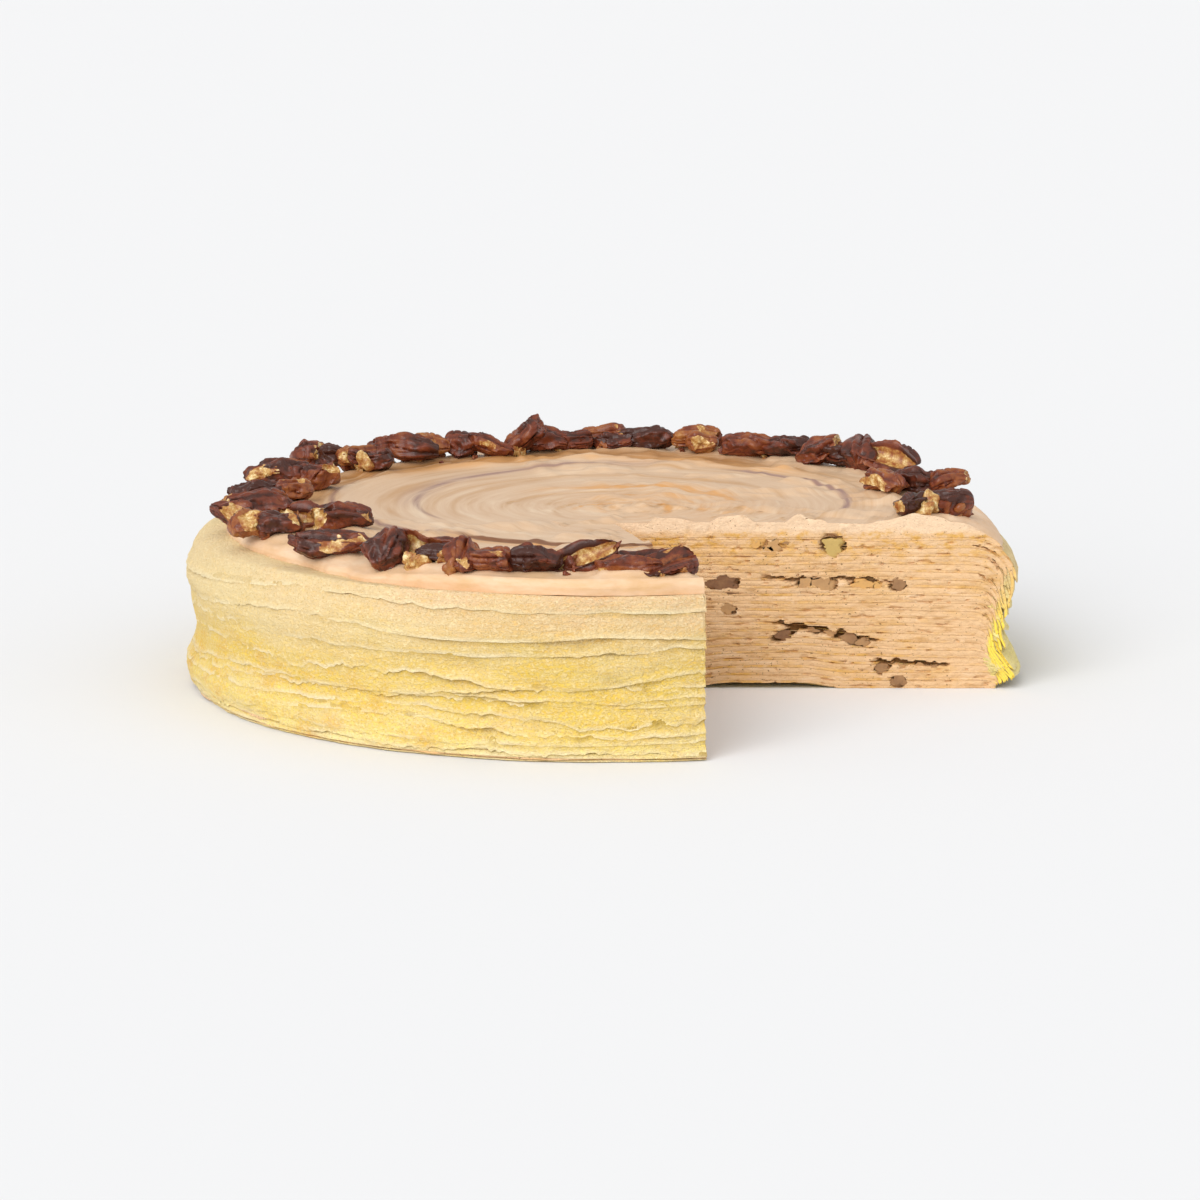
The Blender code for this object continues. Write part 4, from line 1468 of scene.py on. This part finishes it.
def pecanPoints(length, width, number, scoop, breaks):
    # half a pecan as a swollen tube: round it an ellipse, flatter below, and along it a sine that swells
    # and curls, with a groove between two lobes, noise for lumps and creases, a scoop in its top, and
    # breaks and chips as planes that cut it back
    draw = np.random.default_rng(number)
    s = np.linspace(0.015, 0.985, pecanGrid["along"])[:, None]
    a = np.linspace(0.0, turn, pecanGrid["around"], endpoint=False)[None, :]
    swell = np.sin(math.pi * s) ** 0.62 * (1.0 + 0.14 * np.sin(2.4 * math.pi * s + draw.uniform(0, turn)))
    x = -0.5 * length * np.cos(math.pi * s) + 0.0 * a
    above = np.sin(a) > 0
    groove = 1.0 - pecanGrid["cleft"] * np.exp(-(np.cos(a) / 0.17) ** 2) * above
    groove = groove - pecanGrid["underCleft"] * np.exp(-(np.cos(a) / 0.18) ** 2) * ~above
    body = np.stack((x / (3.6 * mm) + number, 1.9 * np.cos(a) + 0.0 * s, 1.9 * np.sin(a) + 0.0 * s), -1)
    lumps = cloudNoise(body * (0.8, 0.9, 0.9), 1.0, 51)
    crease = np.exp(-(cloudNoise(body * (0.40, 1.5, 1.5), 1.0, 52) / 0.12) ** 2)
    wrinkle = np.exp(-(cloudNoise(body * (1.9, 1.6, 1.6), 1.0, 53) / 0.16) ** 2)
    furrow = np.exp(-((np.abs(np.cos(a)) - 0.60 - 0.12 * lumps) / 0.09) ** 2) * above
    relief = 1.0 + pecanGrid["lumps"] * lumps - pecanGrid["crease"] * crease
    scale = groove * (relief - pecanGrid["wrinkle"] * wrinkle - pecanGrid["furrow"] * furrow)
    crease = np.maximum(crease, furrow)
    y = 0.5 * width * np.cos(a) * swell * scale
    z = 0.5 * width * pecanGrid["flat"] * np.where(above, 1.0, 0.74) * np.sin(a) * swell * scale
    hollow = scoop * np.exp(-(np.cos(a) / 0.62) ** 4) * above * smooth(swell, 0.35, 0.8)
    z = z - hollow * (z + 0.10 * width)
    curl = draw.uniform(-0.10, 0.14) + 0.1 * scoop
    z = z + curl * length * ((2.0 * x / length) ** 2 - 0.33)
    points = np.stack((x, y, z), -1)
    flesh = smooth(hollow, 0.35, 0.7)
    rough = pecanGrid["broken"] * cloudNoise(points, 2.6 * mm, 54)
    rough = rough + pecanGrid["fineBroken"] * cloudNoise(points, 1.1 * mm, 55)
    # chips that only flatten the skin, then the breaks that lay the flesh bare
    sides = draw.normal(size=(pecanGrid["chips"], 3))
    fars = draw.uniform(0.62, 0.85, pecanGrid["chips"])
    chips = [(side / np.linalg.norm(side), far) for side, far in zip(sides, fars)]
    for bare, planes in ((False, chips), (True, breaks)):
        for direction, far in planes:
            support = np.linalg.norm(direction * (0.5 * length, 0.5 * width, 0.45 * width))
            over = points @ direction - support * far - rough
            points = points - np.maximum(over, 0.0)[..., None] * direction * 0.88
            if bare:
                flesh = np.maximum(flesh, smooth(over, -0.1 * mm, 0.25 * mm))
    return points, np.clip(crease + 0.5 * wrinkle, 0.0, 1.0), flesh


def makePecan(number, cluster, nut):
    x, y, z, length, width, turnAngle, tip, roll = nut
    tone, scoop, *breaks = nutLooks[number - 1]
    matrix = turnMatrix(turnAngle, tip, roll)
    breaks = [(np.array(plane[:3]) @ matrix, plane[3]) for plane in breaks]
    size = pecanGrid["size"] * mm
    points, crease, flesh = pecanPoints(length * size, width * size, number, scoop, breaks)
    points = points @ matrix.T + np.array((x, y, z)) * mm - (0.0, 0.0, pecanGrid["sink"])
    looks = {"crease": crease, "flesh": flesh, "tone": np.full(flesh.shape, tone)}
    mesh = closedMesh(f"pecan{number:02d}", points, looks)
    addPiece(mesh, (nutMaterial,), [f"pecans_{cluster:02d}"], sharp=80.0)


number = 0
for cluster, nuts in enumerate(pecanClusters, start=1):
    for nut in nuts:
        number += 1
        makePecan(number, cluster, nut)
print("pecans made:", number)


# chopped nuts in the filling and crumbs on top

def blobPoints(places, sizes, seed, uneven, rows=13, columns=20):
    # many small uneven lumps at once: balls pushed in and out by noise, each stretched to its own size
    draw = np.random.default_rng(seed)
    s = np.linspace(0.0, math.pi, rows + 2)[1:-1][:, None]
    a = np.linspace(0.0, turn, columns, endpoint=False)[None, :]
    ball = np.stack(np.broadcast_arrays(np.sin(s) * np.cos(a), np.sin(s) * np.sin(a), -np.cos(s)), -1)
    offsets = draw.uniform(0.0, 30.0, (len(places), 1, 1, 3))
    swell = cloudNoise(ball * 1.2 + offsets, 1.0, 61) + 0.6 * cloudNoise(ball * 2.6 + offsets, 1.0, 62)
    swell = 1.0 + uneven * swell
    return places[:, None, None, :] + ball * swell[..., None] * sizes[:, None, None, :]


# sliced pieces showing in a cut face: how far along it, height, half length, half height and how far behind
# it in mm, then tone
choppedNuts = {
    "farCut": (
        (32.4, 28.9, 4.5, 2.1, 0.5, 0.12), (54.3, 28.8, 1.9, 1.6, 0.5, 0.50),
        (60.2, 28.6, 2.9, 1.9, 0.5, 0.46), (65.0, 29.2, 1.5, 1.1, 0.8, 0.35),
        (70.4, 28.7, 3.1, 1.5, 0.5, 0.70), (74.6, 28.4, 1.6, 1.5, 0.4, 0.72),
        (79.8, 28.7, 2.2, 1.9, 0.4, 0.26), (62.0, 39.1, 3.1, 2.4, 0.6, 1.00),
        (41.5, 40.4, 2.2, 1.5, 0.2, 0.75), (46.4, 39.4, 1.6, 1.3, 0.3, 0.55),
        (44.6, 37.6, 1.7, 1.5, 0.3, 0.60), (49.4, 40.6, 1.3, 0.9, 0.4, 0.28),
        (48.8, 13.6, 2.3, 1.8, 0.8, 0.16), (56.6, 15.3, 2.0, 1.0, 1.1, 0.30),
        (61.5, 14.8, 1.6, 1.0, 1.0, 0.42), (66.3, 13.3, 2.0, 1.7, 0.8, 0.24),
        (71.0, 12.2, 1.8, 1.5, 0.8, 0.34), (75.0, 10.9, 1.5, 1.2, 0.7, 0.48),
        (76.0, 5.3, 1.9, 1.1, 0.8, 0.28), (81.0, 5.7, 1.9, 0.9, 0.9, 0.45),
        (86.2, 5.5, 2.0, 1.1, 0.9, 0.42), (91.0, 5.6, 1.8, 0.9, 0.8, 0.32),
        (80.2, 1.8, 2.2, 1.5, 0.4, 0.26), (34.0, 22.0, 1.8, 1.6, 0.4, 0.44),
    ),
    "nearCut": (
        (36.0, 29.6, 2.8, 1.6, 0.5, 0.40), (43.0, 30.2, 1.9, 1.2, 0.8, 0.60),
        (66.0, 37.2, 3.1, 1.9, 0.4, 0.90), (67.0, 16.0, 3.0, 1.5, 0.7, 0.20),
        (75.0, 16.2, 2.0, 1.1, 0.9, 0.50), (28.0, 9.2, 2.4, 1.2, 0.7, 0.30),
        (88.0, 25.0, 2.4, 1.6, 0.4, 0.35),
    ),
}


choppedShape = {"halfDeep": 1.6, "uneven": 0.6, "columns": 32, "seed": 63}


def makeChoppedNuts():
    # lumps set along each cut, with the side towards it sliced level by the knife
    grids = []
    tones = []
    for cut, bits in choppedNuts.items():
        along, height, halfLong, halfHigh, behind, tone = np.array(bits).T[:, :, None, None]
        outward, across, _, tipAcross = cutAxes(cut)
        halfDeep = np.full(len(bits), choppedShape["halfDeep"])
        sizes = np.column_stack((halfLong.ravel(), halfHigh.ravel(), halfDeep))
        lumps = blobPoints(np.zeros((len(bits), 3)), sizes, choppedShape["seed"], choppedShape["uneven"],
                           columns=choppedShape["columns"])
        inward = np.maximum(lumps[..., 2] + (behind + 0.4), behind)
        run = along + lumps[..., 0]
        ground = run[..., None] * outward + (tipAcross / mm + inward)[..., None] * across
        grid = np.concatenate((ground, (height + lumps[..., 1])[..., None]), -1) * mm
        grids.append(grid if cut == "nearCut" else grid[:, :, ::-1])
        tones.append(np.broadcast_to(tone, grid.shape[:3]))
    grid = settle(np.concatenate(grids))
    grid[..., 2] = np.maximum(grid[..., 2], 0.0)
    mesh = closedMesh("choppedNuts", grid, {"tone": np.concatenate(tones)})
    addPiece(mesh, (chopMaterial,), None, sharp=60.0)


crumbs = {
    "count": 120,
    "largeShare": 0.36,
    "large": (1.6, 2.7),    # half widths in mm
    "small": (0.4, 1.2),
    "spread": (4.6 * mm, 3.4 * mm, 0.0),    # how far they lie from the nuts, sideways and front to back
    "uneven": 0.8,
}


def makeCrumbs():
    # small candied bits lying between the nuts: each near one nut, and no nearer the middle than the ring
    draw = np.random.default_rng(71)
    count = crumbs["count"]
    isLarge = draw.random((count, 1)) < crumbs["largeShare"]
    large = draw.uniform(*crumbs["large"], (count, 1))
    sizes = np.where(isLarge, large, draw.uniform(*crumbs["small"], (count, 1))) * mm
    places = nutPlaces[draw.integers(0, len(nutPlaces), count)]
    places = places + draw.normal(size=(count, 3)) * crumbs["spread"]
    sizes = sizes * draw.uniform(0.7, 1.2, (count, 3))
    away = np.hypot(places[:, :1], places[:, 1:2])
    places[:, :2] *= np.maximum(away, topGrid["nutsFrom"]) / away
    # each rests on the nearest point of the cream's outer face
    ground = creamFace.reshape(-1, 3)
    nearest = np.argmin(np.linalg.norm(places[:, None, :2] - ground[None, :, :2], axis=-1), axis=1)
    places = ground[nearest] + sizes * (0.0, 0.0, 0.5)
    grid = blobPoints(places, sizes, 72, crumbs["uneven"])
    tone = draw.uniform(0.05, 0.8, count)[:, None, None]
    flesh = (draw.random(count) > 0.8)[:, None, None]
    mesh = closedMesh("pecanCrumbs", grid, {"tone": tone, "crease": 0.0, "flesh": flesh})
    addPiece(mesh, (nutMaterial,), None, sharp=60.0)


makeChoppedNuts()
makeCrumbs()
print("chopped nuts and crumbs made")


# floor, light and camera

stage = {
    "floor": (0.812, 0.815, 0.822),
    "floorSize": 14.0,
    "world": 0.68,
    # far soft lights: where from, strength and width in degrees
    "suns": {
        "keyLight": ((-1.3, -1.6, 2.2), 0.85, 40.0),
        "frontLight": ((-0.5, -1.0, 0.55), 1.35, 45.0),
        "fillLight": ((1.8, -1.0, 1.9), 0.30, 60.0),
    },
    "cameraPlace": (-0.0008, -1.3428, 0.2796),
    "cameraAim": (-0.0008, 0.0, 0.0203),
    "lens": 148.95,
    "sensor": 36.0,
}


def makeFloor():
    half = stage["floorSize"] / 2.0
    mesh = bpy.data.meshes.new("floor")
    corners = [(-half, -half, 0.0), (half, -half, 0.0), (half, half, 0.0), (-half, half, 0.0)]
    mesh.from_pydata(corners, [], [(0, 1, 2, 3)])
    material, tree, shader = newMaterial("floorPale", roughness=1.0, specular=0.0)
    fill(tree, shader.inputs["Base Color"], stage["floor"])
    mesh.materials.append(material)
    floor = bpy.data.objects.new("floor", mesh)
    bpy.context.scene.collection.objects.link(floor)


def aimAt(item, target):
    # turns a light or camera, which looks down its own axis, to face a point
    away = np.array(target) - np.array(item.location)
    level = math.hypot(away[0], away[1])
    item.rotation_euler = (math.atan2(level, -away[2]), 0.0, math.atan2(-away[0], away[1]))


def makeSun(name, place, strength, wide):
    light = bpy.data.lights.new(name, "SUN")
    light.energy = strength
    light.angle = math.radians(wide)
    item = bpy.data.objects.new(name, light)
    item.location = place
    bpy.context.scene.collection.objects.link(item)
    aimAt(item, (0.0, 0.0, 0.0))


makeFloor()
for name, sun in stage["suns"].items():
    makeSun(name, *sun)

world = bpy.data.worlds.new("softWorld")
world.use_nodes = True
background = world.node_tree.nodes["Background"]
background.inputs["Color"].default_value = (1.0, 1.0, 1.0, 1.0)
background.inputs["Strength"].default_value = stage["world"]
bpy.context.scene.world = world
bpy.context.scene.view_settings.view_transform = "Standard"

camera = bpy.data.objects.new("camera", bpy.data.cameras.new("camera"))
camera.location = stage["cameraPlace"]
camera.data.lens = stage["lens"]
camera.data.sensor_width = stage["sensor"]
bpy.context.scene.collection.objects.link(camera)
aimAt(camera, stage["cameraAim"])
bpy.context.scene.camera = camera
print("stage set")
